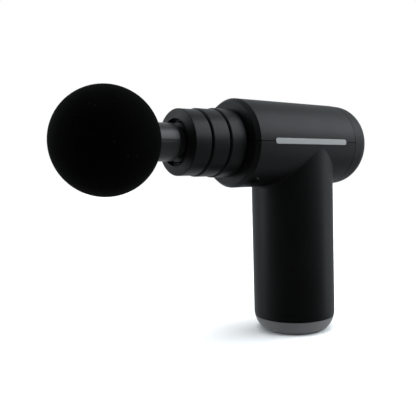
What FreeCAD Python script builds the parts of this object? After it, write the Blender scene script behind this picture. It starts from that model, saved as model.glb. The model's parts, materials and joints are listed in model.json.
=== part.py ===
"""A pistol-shaped massage gun: a ball head driven by a crank, rod and plunger."""
import FreeCAD, Part
import math
import os
import re
import Sketcher
from FreeCAD import Vector

# ---------------------------------------------------------------- sizes
# Millimetres. X runs along the barrel with the ball towards -X, Z is up, and
# the handle's foot is centred on the origin. Names that end in "_x" are places
# along the barrel, "_z" heights above the foot, "_up" heights above the barrel's
# axis, and "_r" radii.
SIZES = [
    # The outside of the housing
    ("axis_height", 104.0, "height of the barrel's axis"),
    ("barrel_r", 23.0, "outside radius of the barrel"),
    ("barrel_wall", 2.2, "thickness of the barrel's wall"),
    ("grip_r", 22.7, "outside radius of the handle"),
    ("grip_wall", 2.2, "thickness of the handle's wall"),
    ("face_x", -46.4, "front face of the barrel"),
    ("front_x", -47.6, "plane that the parts behind the front wall are set out from"),
    ("front_wall", 2.4, "distance from that plane to the front wall's inner face"),
    ("front_bevel_long", 2.4, "length of the front edge's bevel"),
    ("front_bevel_deep", 1.6, "depth of the front edge's bevel"),
    ("neck_round", 1.2, "rounding between the barrel and the handle"),
    ("front_opening_r", 15.2, "opening for the nose tube"),
    ("seam_gap", 0.3, "gap where two housing parts meet"),
    ("cap_seam_x", 28.0, "joint between the barrel and the rear cap"),
    ("rear_x", 40.0, "rear end of the cap"),
    ("cap_round_long", 7.0, "length of the rear edge's rounding"),
    ("cap_round_deep", 3.0, "depth of the rear edge's rounding and taper together"),
    ("cap_taper", 0.25, "how much the cap narrows before its rounding"),
    ("base_seam_z", 7.6, "joint between the handle and the base ring"),
    ("base_curve_z", 10.6, "height where the handle starts to curve in"),
    ("base_curve_r", 13.6, "radius of that curve"),
    ("ledge_z", 73.2, "underside of the shelf inside the handle"),
    ("ledge_thick", 1.2, "thickness of that shelf"),
    ("ledge_r", 15.0, "hole through that shelf"),
    # The side strips
    ("strip_front_x", -34.5, "front end of the side strip"),
    ("strip_rear_x", 19.7, "rear end of the side strip"),
    ("strip_half", 1.5, "half the strip's height"),
    ("strip_in", 22.4, "back face of the strip from the middle plane"),
    ("strip_proud", 0.2, "how far the strip stands out of the barrel"),
    ("strip_play", 0.05, "gap round the strip in its recess"),
    # The screws that hold the drive frame to the lower shell
    ("shell_screw_x", -39.3, "place of the shell screws along the barrel"),
    ("shell_screw_y", 11.9, "distance of the shell screws from the middle"),
    ("shell_well_r", 1.9, "radius of the screw well"),
    ("shell_boss_r", 2.5, "radius of the boss round the well"),
    ("shell_well_up", -16.0, "top of the screw well"),
    # The nose
    ("tube_r", 15.0, "outside of the nose tube"),
    ("tube_bore_r", 13.7, "inside of the nose tube"),
    ("tube_front_x", -77.2, "front end of the nose tube"),
    ("tube_flange_r", 20.4, "flange behind the barrel's front wall"),
    ("tube_flange_thick", 1.4, "thickness of that flange"),
    ("ring_bore_r", 15.1, "bore of the nose rings"),
    ("mouth_x", -79.6, "front rim of the nose opening"),
    ("mouth_r", 11.4, "radius of the nose opening"),
    ("mouth_thick", 1.5, "thickness of the lip round the opening"),
    ("mouth_chamfer_x", -78.2, "rear edge of the nose's front slope"),
    ("mouth_chamfer_r", 16.0, "radius there"),
    ("ring_a_r", 16.2, "rear radius of the front ring"),
    ("ring_b_r", 16.8, "radius of the middle ring"),
    ("ring_c_r", 17.4, "radius of the rear ring"),
    ("ring_ab_x", -68.5, "joint between the front and middle rings"),
    ("ring_bc_x", -58.0, "joint between the middle and rear rings"),
    ("ring_end_x", -48.5, "rear end of the rear ring, short of the barrel"),
    ("ring_gap", 0.5, "gap between two rings"),
    ("ring_edge", 0.9, "rounding of a ring's front edge"),
    # The plunger and its guide
    ("plunger_r", 10.0, "outside of the plunger"),
    ("plunger_front_x", -78.0, "front face of the plunger"),
    ("plunger_rear_x", -42.0, "end of the plunger's round part"),
    ("socket_r", 6.0, "bore that takes the head"),
    ("socket_end_x", -56.5, "blind end of that bore"),
    ("slide_play", 0.05, "running clearance of a sliding or turning fit"),
    ("bush_r", 12.0, "outside of the guide bushes"),
    ("bush_long", 10.0, "length of a guide bush"),
    ("bush_a_x", -76.5, "front of the front bush"),
    ("bush_b_x", -56.0, "front of the rear bush"),
    ("guide_r", 13.5, "outside of the guide housing"),
    ("guide_front_x", -77.0, "front of the guide housing"),
    ("guide_flange_r", 18.5, "flange of the guide housing"),
    ("guide_flange_thick", 1.6, "thickness of that flange"),
    ("fork_gap", 3.8, "half the gap between the fork's ears"),
    ("ear_thick", 3.0, "thickness of an ear"),
    ("ear_half", 8.2, "half the width of an ear"),
    ("ear_end_x", -18.8, "rear end of the ears"),
    # The crank and the connecting rod
    ("crank_throw", 3.0, "distance of the crank pin from the motor's axis"),
    ("crank_r", 12.0, "radius of the crank disc"),
    ("crank_low_up", -11.5, "underside of the crank disc"),
    ("crank_top_up", -7.5, "top of the crank disc"),
    ("weight_top_up", -4.2, "top of the counterweight"),
    ("weight_r", 11.8, "radius of the counterweight"),
    ("pin_r", 2.5, "radius of the crank pin"),
    ("pin_low_up", -8.8, "lower end of the crank pin"),
    ("pin_top_up", 4.9, "upper end of the crank pin"),
    ("clip_r", 4.2, "radius of the clip on the crank pin"),
    ("clip_thick", 0.6, "thickness of that clip"),
    ("rod_length", 27.0, "distance between the rod's two holes"),
    ("rod_half", 3.5, "half the rod's thickness"),
    ("rod_big_r", 9.5, "radius of the rod's big end"),
    ("rod_small_r", 5.0, "radius of the rod's small end"),
    ("rod_neck", 3.2, "half the width of the rod's shank"),
    ("rod_bore_r", 6.5, "bore for the bearing in the big end"),
    ("rod_bearing_half", 2.0, "half the thickness of that bearing"),
    ("wrist_r", 2.0, "radius of the wrist pin"),
    ("wrist_half", 6.6, "half the length of the wrist pin"),
    ("wrist_play", 0.2, "gap round the wrist pin in the ears' slots"),
    # The head
    ("ball_x", -116.0, "centre of the ball"),
    ("ball_r", 24.7, "radius of the ball"),
    ("stem_r", 9.2, "radius of the stem between ball and nose"),
    ("stem_end_x", -82.0, "rear end of that radius"),
    ("core_r", 13.0, "radius of the knob inside the ball"),
    ("core_front_x", -123.0, "front of that knob"),
    ("core_rear_x", -112.0, "rear of that knob"),
    ("seat_r", 7.5, "shoulder that meets the plunger"),
    ("shank_r", 5.9, "radius of the shank in the socket"),
    ("shank_end_x", -57.5, "end of the shank"),
    ("o_ring_r", 0.9, "radius of the O-rings' cord"),
    ("o_ring_mid_r", 5.05, "radius of the O-rings' centre line"),
    ("o_ring_a_x", -71.0, "place of the front O-ring"),
    ("o_ring_b_x", -64.0, "place of the rear O-ring"),
    # The motor
    ("cup_r", 18.0, "outside of the motor cup"),
    ("cup_bore_r", 16.2, "inside of the motor cup"),
    ("cup_low_z", 75.5, "underside of the motor cup"),
    ("cup_floor", 1.5, "thickness of the cup's floor"),
    ("deck_z", 90.0, "underside of the drive frame's deck"),
    ("deck_thick", 2.2, "thickness of the deck"),
    ("deck_half", 15.0, "half the width of the deck"),
    ("cheek_in", 13.2, "inner face of a cheek"),
    ("cheek_top_up", 5.0, "top of the cheeks"),
    ("frame_rear_x", 14.8, "rear end of the drive frame"),
    ("frame_rear_wall", 2.0, "thickness of its rear wall"),
    ("frame_front_thick", 2.4, "thickness of its front plate"),
    ("frame_window_r", 12.8, "hole in the front plate"),
    ("motor_boss_r", 4.2, "tube that carries the stator"),
    ("motor_boss_top_z", 87.2, "top of that tube"),
    ("low_bearing_r", 3.4, "outside of the lower bearing"),
    ("low_bearing_z", 77.2, "underside of the lower bearing"),
    ("high_bearing_r", 4.5, "outside of the upper bearing"),
    ("bearing_high", 2.2, "height of the motor's bearings"),
    ("shaft_r", 2.0, "radius of the motor's shaft"),
    ("shaft_low_z", 77.4, "lower end of the shaft"),
    ("shaft_top_z", 95.0, "upper end of the shaft"),
    ("stator_r", 11.7, "radius of the stator"),
    ("stator_hub_r", 6.4, "radius of the stator's hub"),
    ("stator_low_z", 79.0, "underside of the stator"),
    ("stator_top_z", 85.8, "top of the stator"),
    ("stator_teeth", 9.0, "number of stator teeth"),
    ("tooth_half", 1.1, "half the width of a tooth"),
    ("coil_half", 2.1, "half the width of a coil"),
    ("coil_over", 1.1, "how far a coil stands above the stator"),
    ("magnet_in_r", 12.2, "inside of the magnets"),
    ("magnet_r", 14.1, "outside of the magnets"),
    ("magnet_count", 12.0, "number of magnets"),
    ("magnet_angle", 25.0, "angle that one magnet covers, in degrees"),
    ("can_r", 15.0, "outside of the rotor can"),
    ("can_low_z", 78.0, "open end of the rotor can"),
    ("can_top_z", 89.3, "closed end of the rotor can"),
    ("can_lid", 1.1, "thickness of its lid"),
    ("cushion_in_r", 15.2, "inside of the rubber ring under the cup"),
    ("cushion_r", 19.6, "outside of that ring"),
    # The battery and the board in the handle
    ("cell_r", 9.2, "radius of a battery cell"),
    ("cell_y", 9.4, "distance of a cell's axis from the middle"),
    ("cell_low_z", 6.4, "underside of the cells"),
    ("cell_long", 65.0, "length of a cell"),
    ("holder_r", 19.6, "radius of the cell holders"),
    ("holder_thick", 1.3, "thickness of a holder's plate"),
    ("holder_rim", 3.0, "height of a holder's rim"),
    ("contact_thick", 0.3, "thickness of the contact strips"),
    ("main_board_x", 10.2, "front face of the board in the handle"),
    ("main_board_half", 13.5, "half the width of that board"),
    ("board_thick", 1.2, "thickness of the circuit boards"),
    ("main_board_low_z", 4.6, "lower edge of that board"),
    ("main_board_top_z", 66.0, "upper edge of that board"),
    ("port_half", 4.45, "half the width of the charging port"),
    ("port_deep", 1.6, "half the depth of the charging port"),
    ("port_low_z", 0.6, "mouth of the charging port"),
    ("port_top_z", 9.0, "inner end of the charging port"),
    ("port_wall", 0.35, "thickness of the charging port's shell"),
    # The base
    ("ring_low_z", 0.7, "underside of the base ring"),
    ("ring_in_r", 17.4, "hole in the base ring"),
    ("ring_cavity_r", 18.9, "inside of the base ring above that hole"),
    ("ring_spigot_r", 20.3, "part of the ring that enters the handle"),
    ("ring_spigot_z", 12.0, "top of that part"),
    ("ring_shelf_z", 2.2, "shelf that the base plate hangs on"),
    ("plate_r", 17.2, "radius of the base plate"),
    ("plate_flange_r", 18.7, "radius of its flange"),
    ("plate_top_z", 3.9, "top of the base plate"),
    # The rear cap and its controls
    ("cap_spigot_x", 22.0, "front end of the cap's spigot"),
    ("cap_spigot_r", 20.6, "outside of that spigot"),
    ("cap_bore_r", 18.6, "inside of the rear cap"),
    ("cap_wall_x", 37.2, "inner face of the cap's rear wall"),
    ("panel_seat_x", 38.7, "floor of the panel's recess"),
    ("panel_seat_r", 14.1, "radius of that recess"),
    ("panel_r", 14.0, "radius of the control panel"),
    ("panel_x", 39.8, "face of the control panel"),
    ("button_r", 6.0, "radius of the power button"),
    ("button_hole_r", 6.2, "hole for the power button"),
    ("button_flange_r", 7.2, "flange that keeps the button in"),
    ("button_x", 39.95, "face of the power button"),
    ("light_r", 0.8, "radius of a speed light"),
    ("light_ring_r", 10.2, "distance of the speed lights from the middle"),
    ("light_count", 5.0, "number of speed lights"),
    ("light_step", 24.0, "angle between two speed lights, in degrees"),
    ("rear_board_x", 28.4, "front face of the rear board"),
    ("rear_board_r", 18.0, "radius of the rear board"),
    ("board_boss_ring_r", 15.2, "distance of the board's bosses from the middle"),
    ("board_boss_r", 2.2, "radius of a board boss"),
    ("board_screw_r", 1.0, "radius of a board screw"),
    ("nose_screw_ring_r", 15.6, "distance of the nose screws from the middle"),
    ("nose_screw_r", 1.1, "radius of a nose screw"),
]

doc = FreeCAD.newDocument("MassageGun")
sheet = doc.addObject("Spreadsheet::Sheet", "Sizes")
for row, (alias, value, meaning) in enumerate(SIZES, start=1):
    sheet.set(f"A{row}", alias)
    sheet.set(f"B{row}", str(value))
    sheet.set(f"C{row}", meaning)
    sheet.setAlias(f"B{row}", alias)
doc.recompute()

ALIAS = re.compile(r"\b(" + "|".join(name for name, _, _ in SIZES) + r")\b")


# ---------------------------------------------------------------- helpers
def bound(text):
    """An expression on the size names, as the document's expressions need it."""
    return ALIAS.sub(r"Sizes.\1", str(text))


def size(text):
    """What an expression on the size names comes to now."""
    return float(sheet.evalExpression(bound(text)))


def new_body(label, height="axis_height"):
    """An empty body whose origin stands at a height above the foot."""
    body = doc.addObject("PartDesign::Body", label)
    body.Label = label
    body.AllowCompound = True
    body.setExpression("Placement.Base.z", bound(height))
    return body


def hold(sketch, constraint, text):
    """Adds a constraint and binds it to an expression."""
    index = sketch.addConstraint(constraint)
    sketch.setExpression(f"Constraints[{index}]", bound(text))


def draw_circle(sketch, across, up, radius):
    """A circle whose centre and radius follow expressions."""
    centre = Vector(size(across), size(up), 0)
    edge = sketch.addGeometry(Part.Circle(centre, Vector(0, 0, 1), size(radius)), False)
    hold(sketch, Sketcher.Constraint("DistanceX", -1, 1, edge, 3, centre.x), across)
    hold(sketch, Sketcher.Constraint("DistanceY", -1, 1, edge, 3, centre.y), up)
    hold(sketch, Sketcher.Constraint("Radius", edge, size(radius)), radius)


def draw_side(sketch, start, end, arc):
    """A straight side, or an arc with its centre to the left or right of the way.

    Returns the edge's number and the numbers of its start and its end."""
    if not arc:
        return sketch.addGeometry(Part.LineSegment(start, end), False), 1, 2
    radius, side = size(arc[0]), arc[1]
    chord = end - start
    rise = math.sqrt(max(radius ** 2 - (chord.Length / 2) ** 2, 0))
    leftwards = Vector(-chord.y, chord.x, 0).normalize()
    turn = 1 if side == "left" else -1
    centre = (start + end) / 2 + leftwards * rise * turn
    first, last = (start, end) if turn > 0 else (end, start)
    angles = [math.atan2(p.y - centre.y, p.x - centre.x) for p in (first, last)]
    if angles[1] <= angles[0]:
        angles[1] += 2 * math.pi
    circle = Part.Circle(centre, Vector(0, 0, 1), radius)
    edge = sketch.addGeometry(Part.ArcOfCircle(circle, *angles), False)
    hold(sketch, Sketcher.Constraint("Radius", edge, radius), arc[0])
    return (edge, 1, 2) if turn > 0 else (edge, 2, 1)


def draw_outline(sketch, corners):
    """A closed outline. A corner is (across, up), with a radius and a side
    after them where the way to the next corner is an arc."""
    places = [Vector(size(corner[0]), size(corner[1]), 0) for corner in corners]
    sides = []
    for number, corner in enumerate(corners):
        following = places[(number + 1) % len(corners)]
        sides.append(draw_side(sketch, places[number], following, corner[2:]))
    for number, (edge, start, _) in enumerate(sides):
        before, _, before_end = sides[number - 1]
        sketch.addConstraint(Sketcher.Constraint("Coincident", before, before_end, edge, start))
        across, up = corners[number][:2]
        at = places[number]
        hold(sketch, Sketcher.Constraint("DistanceX", -1, 1, edge, start, at.x), across)
        hold(sketch, Sketcher.Constraint("DistanceY", -1, 1, edge, start, at.y), up)


def new_sketch(body, name, plane, loops, offset="0"):
    """A sketch on one of the body's own planes. A loop of three plain
    expressions is a circle, and a loop of corners is an outline."""
    sketch = body.newObject("Sketcher::SketchObject", f"{body.Name}_{name}")
    origin_plane = next(f for f in body.Origin.OriginFeatures if f.Role == plane + "_Plane")
    sketch.AttachmentSupport = [(origin_plane, "")]
    sketch.MapMode = "FlatFace"
    sketch.setExpression("AttachmentOffset.Base.z", bound(offset))
    for loop in loops:
        if isinstance(loop[0], str):
            draw_circle(sketch, *loop)
        else:
            draw_outline(sketch, loop)
    sketch.Visibility = False
    return sketch


def check_change(body, sketch, feature, before, cut):
    """Stops the build when a feature didn't add or take material."""
    doc.recompute([sketch, feature, body])
    after = body.Shape.Volume
    if (after >= before) if cut else (after <= before):
        raise RuntimeError(f"{feature.Name} changed nothing: {before} to {after}")


def revolve(body, name, corners, about="H_Axis", cut=False, angle=360):
    """Turns an outline on the middle plane about the barrel (H) or handle (V)."""
    before = body.Shape.Volume if body.Tip else 0
    sketch = new_sketch(body, name + "_outline", "XZ", [corners])
    kind = "PartDesign::Groove" if cut else "PartDesign::Revolution"
    feature = body.newObject(kind, f"{body.Name}_{name}")
    feature.Profile = sketch
    feature.ReferenceAxis = (sketch, [about])
    feature.Angle = angle
    if angle != 360:
        feature.Midplane = True
    check_change(body, sketch, feature, before, cut)
    return feature


def extrude(body, name, plane, loops, start, length, cut=False):
    """Carries loops on a plane from a distance along its normal, over a length.

    XY runs towards +Z, YZ towards +X, and XZ towards -Y."""
    before = body.Shape.Volume if body.Tip else 0
    sketch = new_sketch(body, name + "_outline", plane, loops, start)
    kind = "PartDesign::Pocket" if cut else "PartDesign::Pad"
    feature = body.newObject(kind, f"{body.Name}_{name}")
    feature.Profile = sketch
    feature.setExpression("Length", bound(length))
    feature.Reversed = cut
    check_change(body, sketch, feature, before, cut)
    return feature


def repeat_round(body, features, count, axis):
    """Repeats features in a full circle about one of the body's own axes."""
    body.Tip = features[-1]
    pattern = body.newObject("PartDesign::PolarPattern", features[0].Name + "_round")
    pattern.Originals = features
    origin_axis = next(f for f in body.Origin.OriginFeatures if f.Role == axis + "_Axis")
    pattern.Axis = (origin_axis, [""])
    pattern.Angle = 360
    pattern.setExpression("Occurrences", bound(count))
    body.Tip = pattern
    doc.recompute()
    return pattern


def round_edges(body, name, radius, belongs):
    """Rounds the edges of the body's last feature that a test picks out."""
    last = body.Tip
    edges = [f"Edge{number}" for number, edge in enumerate(last.Shape.Edges, 1)
             if belongs(edge)]
    if not edges:
        raise RuntimeError(f"{body.Name} has no edge for {name}")
    fillet = body.newObject("PartDesign::Fillet", f"{body.Name}_{name}")
    fillet.Base = (last, edges)
    fillet.setExpression("Radius", bound(radius))
    doc.recompute([fillet, body])
    if not fillet.Shape.isValid() or fillet.Shape.Volume <= last.Shape.Volume:
        raise RuntimeError(f"{fillet.Name} didn't fill the corner")
    return fillet


def box_loop(low_across, high_across, low_up, high_up):
    """A rectangle's corners."""
    return [(low_across, low_up), (high_across, low_up),
            (high_across, high_up), (low_across, high_up)]


def slot_loop(low_across, high_across, half, middle="0"):
    """A slot with round ends that runs across, about a middle height."""
    left, right = f"({low_across}) + ({half})", f"({high_across}) - ({half})"
    top, bottom = f"({middle}) + ({half})", f"({middle}) - ({half})"
    return [(left, bottom), (right, bottom, half, "left"), (high_across, middle, half, "left"),
            (right, top), (left, top, half, "left"), (low_across, middle, half, "left")]


def upright_slot_loop(low_up, high_up, half, middle="0"):
    """A slot with round ends that runs upwards, about a middle place."""
    low, high = f"({low_up}) + ({half})", f"({high_up}) - ({half})"
    left, right = f"({middle}) - ({half})", f"({middle}) + ({half})"
    return [(right, low), (right, high, half, "left"), (middle, high_up, half, "left"),
            (left, high), (left, low, half, "left"), (middle, low_up, half, "left")]


def tube_about_x(label, front, rear, inner, outer):
    """A plain tube on the barrel's axis."""
    body = new_body(label)
    revolve(body, "tube", box_loop(front, rear, inner, outer))
    return body


def tube_about_z(label, low, high, inner, outer):
    """A plain tube on the handle's axis, between heights above the foot."""
    body = new_body(label, "0")
    revolve(body, "tube", box_loop(inner, outer, low, high), "V_Axis")
    return body


def polar(ring, degrees):
    """Two expressions for a place on a circle."""
    return f"({ring}) * cos({degrees})", f"({ring}) * sin({degrees})"


# ---------------------------------------------------------------- head
def make_massage_ball():
    """A foam ball moulded round the knob of the head's stem."""
    body = new_body("massage_ball")
    bore, knob = "stem_r + slide_play", "core_r + slide_play"
    front, rear = "core_front_x - slide_play", "core_rear_x + slide_play"
    revolve(body, "ball", [
        ("ball_x - ball_r", "0", "ball_r", "right"),
        ("ball_x", "ball_r", "ball_r", "right"),
        (f"ball_x + sqrt(ball_r^2 - ({bore})^2)", bore),
        (rear, bore),
        (rear, f"{knob} - 1"),
        (f"{rear} - 1", knob),
        (f"{front} + 1", knob),
        (front, f"{knob} - 1"),
        (front, "0")])


def make_head_stem():
    """The hard stem: a knob in the foam, a collar, a shoulder and a shank."""
    body = new_body("head_stem")
    seat = "plunger_front_x - slide_play"
    revolve(body, "stem", [
        ("core_front_x", "0"),
        ("core_front_x", "core_r - 1"),
        ("core_front_x + 1", "core_r"),
        ("core_rear_x - 1", "core_r"),
        ("core_rear_x", "core_r - 1"),
        ("core_rear_x", "stem_r"),
        ("stem_end_x - 0.6", "stem_r"),
        ("stem_end_x", "stem_r - 0.6"),
        ("stem_end_x + 0.9", "seat_r"),
        (seat, "seat_r"),
        (seat, "shank_r"),
        ("shank_end_x - 1", "shank_r"),
        ("shank_end_x", "shank_r - 1"),
        ("shank_end_x", "0")])
    for letter in "ab":
        middle = f"o_ring_{letter}_x"
        revolve(body, "groove_" + letter, box_loop(
            f"{middle} - o_ring_r - 0.1", f"{middle} + o_ring_r + 0.1",
            "o_ring_mid_r - o_ring_r", "shank_r + 1"), cut=True)


def make_stem_o_rings():
    """Two rubber rings that grip the plunger's socket."""
    body = new_body("stem_o_rings")
    for letter in "ab":
        middle = f"o_ring_{letter}_x"
        revolve(body, "ring_" + letter, (middle, "o_ring_mid_r", "o_ring_r"))


# ---------------------------------------------------------------- nose
def make_nose_rings():
    """Three collars on the nose tube. The front one closes it to a round mouth."""
    front = new_body("nose_ring_front")
    revolve(front, "ring", [
        ("mouth_x", "mouth_r"),
        ("mouth_x + 0.3", "mouth_r + 0.5"),
        ("mouth_chamfer_x", "mouth_chamfer_r"),
        ("mouth_chamfer_x + 0.3", "ring_a_r"),
        ("ring_ab_x - ring_gap", "ring_a_r"),
        ("ring_ab_x - ring_gap", "ring_bore_r"),
        ("tube_front_x - 0.1", "ring_bore_r"),
        ("tube_front_x - 0.1", "tube_bore_r"),
        ("mouth_x + mouth_thick", "tube_bore_r"),
        ("mouth_x + mouth_thick", "mouth_r")])
    stretches = {"nose_ring_middle": ("ring_ab_x", "ring_bc_x - ring_gap", "ring_b_r"),
                 "nose_ring_rear": ("ring_bc_x", "ring_end_x", "ring_c_r")}
    for label, (start, end, radius) in stretches.items():
        body = new_body(label)
        revolve(body, "ring", [
            (start, "ring_bore_r"),
            (start, f"{radius} - ring_edge", "ring_edge", "right"),
            (f"{start} + ring_edge", radius),
            (end, radius),
            (end, "ring_bore_r")])


def screw_places():
    """The two nose screws, high on the flange, left and right of the middle."""
    return [polar("nose_screw_ring_r", angle) for angle in (60, 120)]


def cut_nose_holes(body, start, length):
    """Clears the nose screws through a plate."""
    holes = [(across, up, "nose_screw_r + slide_play") for across, up in screw_places()]
    extrude(body, "screw_holes", "YZ", holes, start, length, cut=True)


def make_nose_tube():
    """The tube that carries the rings, held by its flange inside the barrel."""
    body = new_body("nose_tube")
    flange = "front_x + front_wall + 0.1"
    revolve(body, "tube", [
        ("tube_front_x", "tube_bore_r"),
        ("tube_front_x", "tube_r"),
        (flange, "tube_r"),
        (flange, "tube_flange_r"),
        (f"{flange} + tube_flange_thick", "tube_flange_r"),
        (f"{flange} + tube_flange_thick", "tube_bore_r")])
    cut_nose_holes(body, flange + " - 1", "tube_flange_thick + 2")


GUIDE_FLANGE_X = "(front_x + front_wall + tube_flange_thick + 0.2)"
FRAME_FRONT_X = f"({GUIDE_FLANGE_X} + guide_flange_thick + 0.1)"


def make_guide_housing():
    """The tube that holds both bushes in line with the crank."""
    body = new_body("guide_housing")
    rear = f"{GUIDE_FLANGE_X} + guide_flange_thick"
    revolve(body, "tube", [
        ("guide_front_x", "bush_r"),
        ("guide_front_x", "guide_r"),
        (GUIDE_FLANGE_X, "guide_r"),
        (GUIDE_FLANGE_X, "guide_flange_r"),
        (rear, "guide_flange_r"),
        (rear, "frame_window_r"),
        ("bush_b_x + bush_long + 0.5", "frame_window_r"),
        ("bush_b_x + bush_long + 0.5", "bush_r")])
    cut_nose_holes(body, GUIDE_FLANGE_X + " - 1", "guide_flange_thick + 2")


def make_guide_bushes():
    """Two plastic bushes that the plunger slides in."""
    for label, start in (("guide_bush_front", "bush_a_x"), ("guide_bush_rear", "bush_b_x")):
        tube_about_x(label, start, f"{start} + bush_long", "plunger_r + slide_play", "bush_r")


def make_nose_screws():
    """Screws that clamp frame, guide and nose tube in one stack."""
    body = new_body("nose_screws")
    head_x = f"{FRAME_FRONT_X} + frame_front_thick"
    tip_x = "front_x + front_wall + 0.2"
    shanks = [(across, up, "nose_screw_r") for across, up in screw_places()]
    heads = [(across, up, "nose_screw_r * 1.9") for across, up in screw_places()]
    extrude(body, "shanks", "YZ", shanks, tip_x, f"{head_x} - ({tip_x})")
    extrude(body, "heads", "YZ", heads, head_x, "1.6")


# ---------------------------------------------------------------- drive
def make_plunger():
    """The sliding rod: a socket for the head in front, a fork behind."""
    body = new_body("plunger")
    revolve(body, "barrel", [
        ("plunger_front_x", "socket_r + 0.4"),
        ("plunger_front_x", "plunger_r - 0.5"),
        ("plunger_front_x + 0.5", "plunger_r"),
        ("plunger_rear_x", "plunger_r"),
        ("plunger_rear_x", "0"),
        ("socket_end_x", "0"),
        ("socket_end_x", "socket_r"),
        ("plunger_front_x + 0.4", "socket_r")])
    # The wrist pin goes round with the crank while the plunger may stand
    # anywhere in its stroke, so the slots clear it over both.
    swing = "crank_throw + wrist_r + wrist_play"
    middle = "-(crank_throw + rod_length)"
    slot = box_loop(f"{middle} - 2 * crank_throw - wrist_r - wrist_play",
                    f"{middle} + 2 * crank_throw + wrist_r + wrist_play",
                    f"-({swing})", swing)
    ear = box_loop("plunger_rear_x - 1", "ear_end_x", "-ear_half", "ear_half")
    for name, low in (("upper", "fork_gap"), ("lower", "-fork_gap - ear_thick")):
        extrude(body, name + "_ear", "XY", [ear, slot], low, "ear_thick")


def make_connecting_rod():
    """The rod, with a bearing seat round the crank pin and a wrist-pin hole."""
    body = new_body("connecting_rod")
    small_x = "-(crank_throw + rod_length)"
    extrude(body, "big_end", "XY", [("-crank_throw", "0", "rod_big_r")],
            "-rod_half", "2 * rod_half")
    extrude(body, "small_end", "XY", [(small_x, "0", "rod_small_r")],
            "-rod_half", "2 * rod_half")
    extrude(body, "shank", "XY", [box_loop(small_x, "-crank_throw", "-rod_neck", "rod_neck")],
            "-rod_half", "2 * rod_half")
    extrude(body, "bores", "XY", [("-crank_throw", "0", "rod_bore_r"),
                                  (small_x, "0", "wrist_r")],
            "-rod_half - 1", "2 * rod_half + 2", cut=True)
    waist = box_loop(f"{small_x} + rod_small_r + 1", "-crank_throw - rod_big_r - 1",
                     "-rod_neck + 1.2", "rod_neck - 1.2")
    extrude(body, "upper_waist", "XY", [waist], "rod_half - 1.5", "3", cut=True)
    extrude(body, "lower_waist", "XY", [waist], "-rod_half - 1.5", "3", cut=True)


def make_crank_set():
    """The crank disc with its counterweight, the pin and the pin's clip."""
    disc = new_body("crank_disc")
    extrude(disc, "disc", "XY", [("0", "0", "crank_r")],
            "crank_low_up", "crank_top_up - crank_low_up")
    half = [("1.5", "-sqrt(weight_r^2 - 1.5^2)", "weight_r", "left"),
            ("weight_r", "0", "weight_r", "left"),
            ("1.5", "sqrt(weight_r^2 - 1.5^2)")]
    extrude(disc, "weight", "XY", [half], "crank_top_up", "weight_top_up - crank_top_up")
    extrude(disc, "shaft_bore", "XY", [("0", "0", "shaft_r")],
            "crank_low_up - 1", "shaft_top_z - axis_height - crank_low_up + 1", cut=True)
    extrude(disc, "pin_bore", "XY", [("-crank_throw", "0", "pin_r")],
            "pin_low_up", "crank_throw + 1", cut=True)

    pin = new_body("crank_pin")
    extrude(pin, "pin", "XY", [("-crank_throw", "0", "pin_r")],
            "pin_low_up", "pin_top_up - pin_low_up")
    extrude(pin, "collar", "XY", [("-crank_throw", "0", "pin_r + 0.8")],
            "crank_top_up", "-rod_bearing_half - 0.2 - crank_top_up")

    clip = new_body("crank_clip")
    ring = [("-crank_throw", "0", "clip_r"), ("-crank_throw", "0", "pin_r")]
    extrude(clip, "ring", "XY", ring, "rod_half + 0.3", "clip_thick")


def make_rod_bearing():
    """A ball bearing pressed into the rod's big end, with a grooved face."""
    body = new_body("rod_bearing")
    extrude(body, "races", "XY", [("-crank_throw", "0", "rod_bore_r"),
                                  ("-crank_throw", "0", "pin_r + slide_play")],
            "-rod_bearing_half", "2 * rod_bearing_half")
    shield = [("-crank_throw", "0", "rod_bore_r - 0.9"), ("-crank_throw", "0", "pin_r + 0.9")]
    extrude(body, "upper_shield", "XY", shield, "rod_bearing_half - 0.3", "1", cut=True)
    extrude(body, "lower_shield", "XY", shield, "-rod_bearing_half - 0.7", "1", cut=True)


def make_wrist_pin():
    """The pin fixed in the rod's small end, which drives the fork."""
    body = new_body("wrist_pin")
    extrude(body, "pin", "XY", [("-(crank_throw + rod_length)", "0", "wrist_r")],
            "-wrist_half", "2 * wrist_half")


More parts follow.
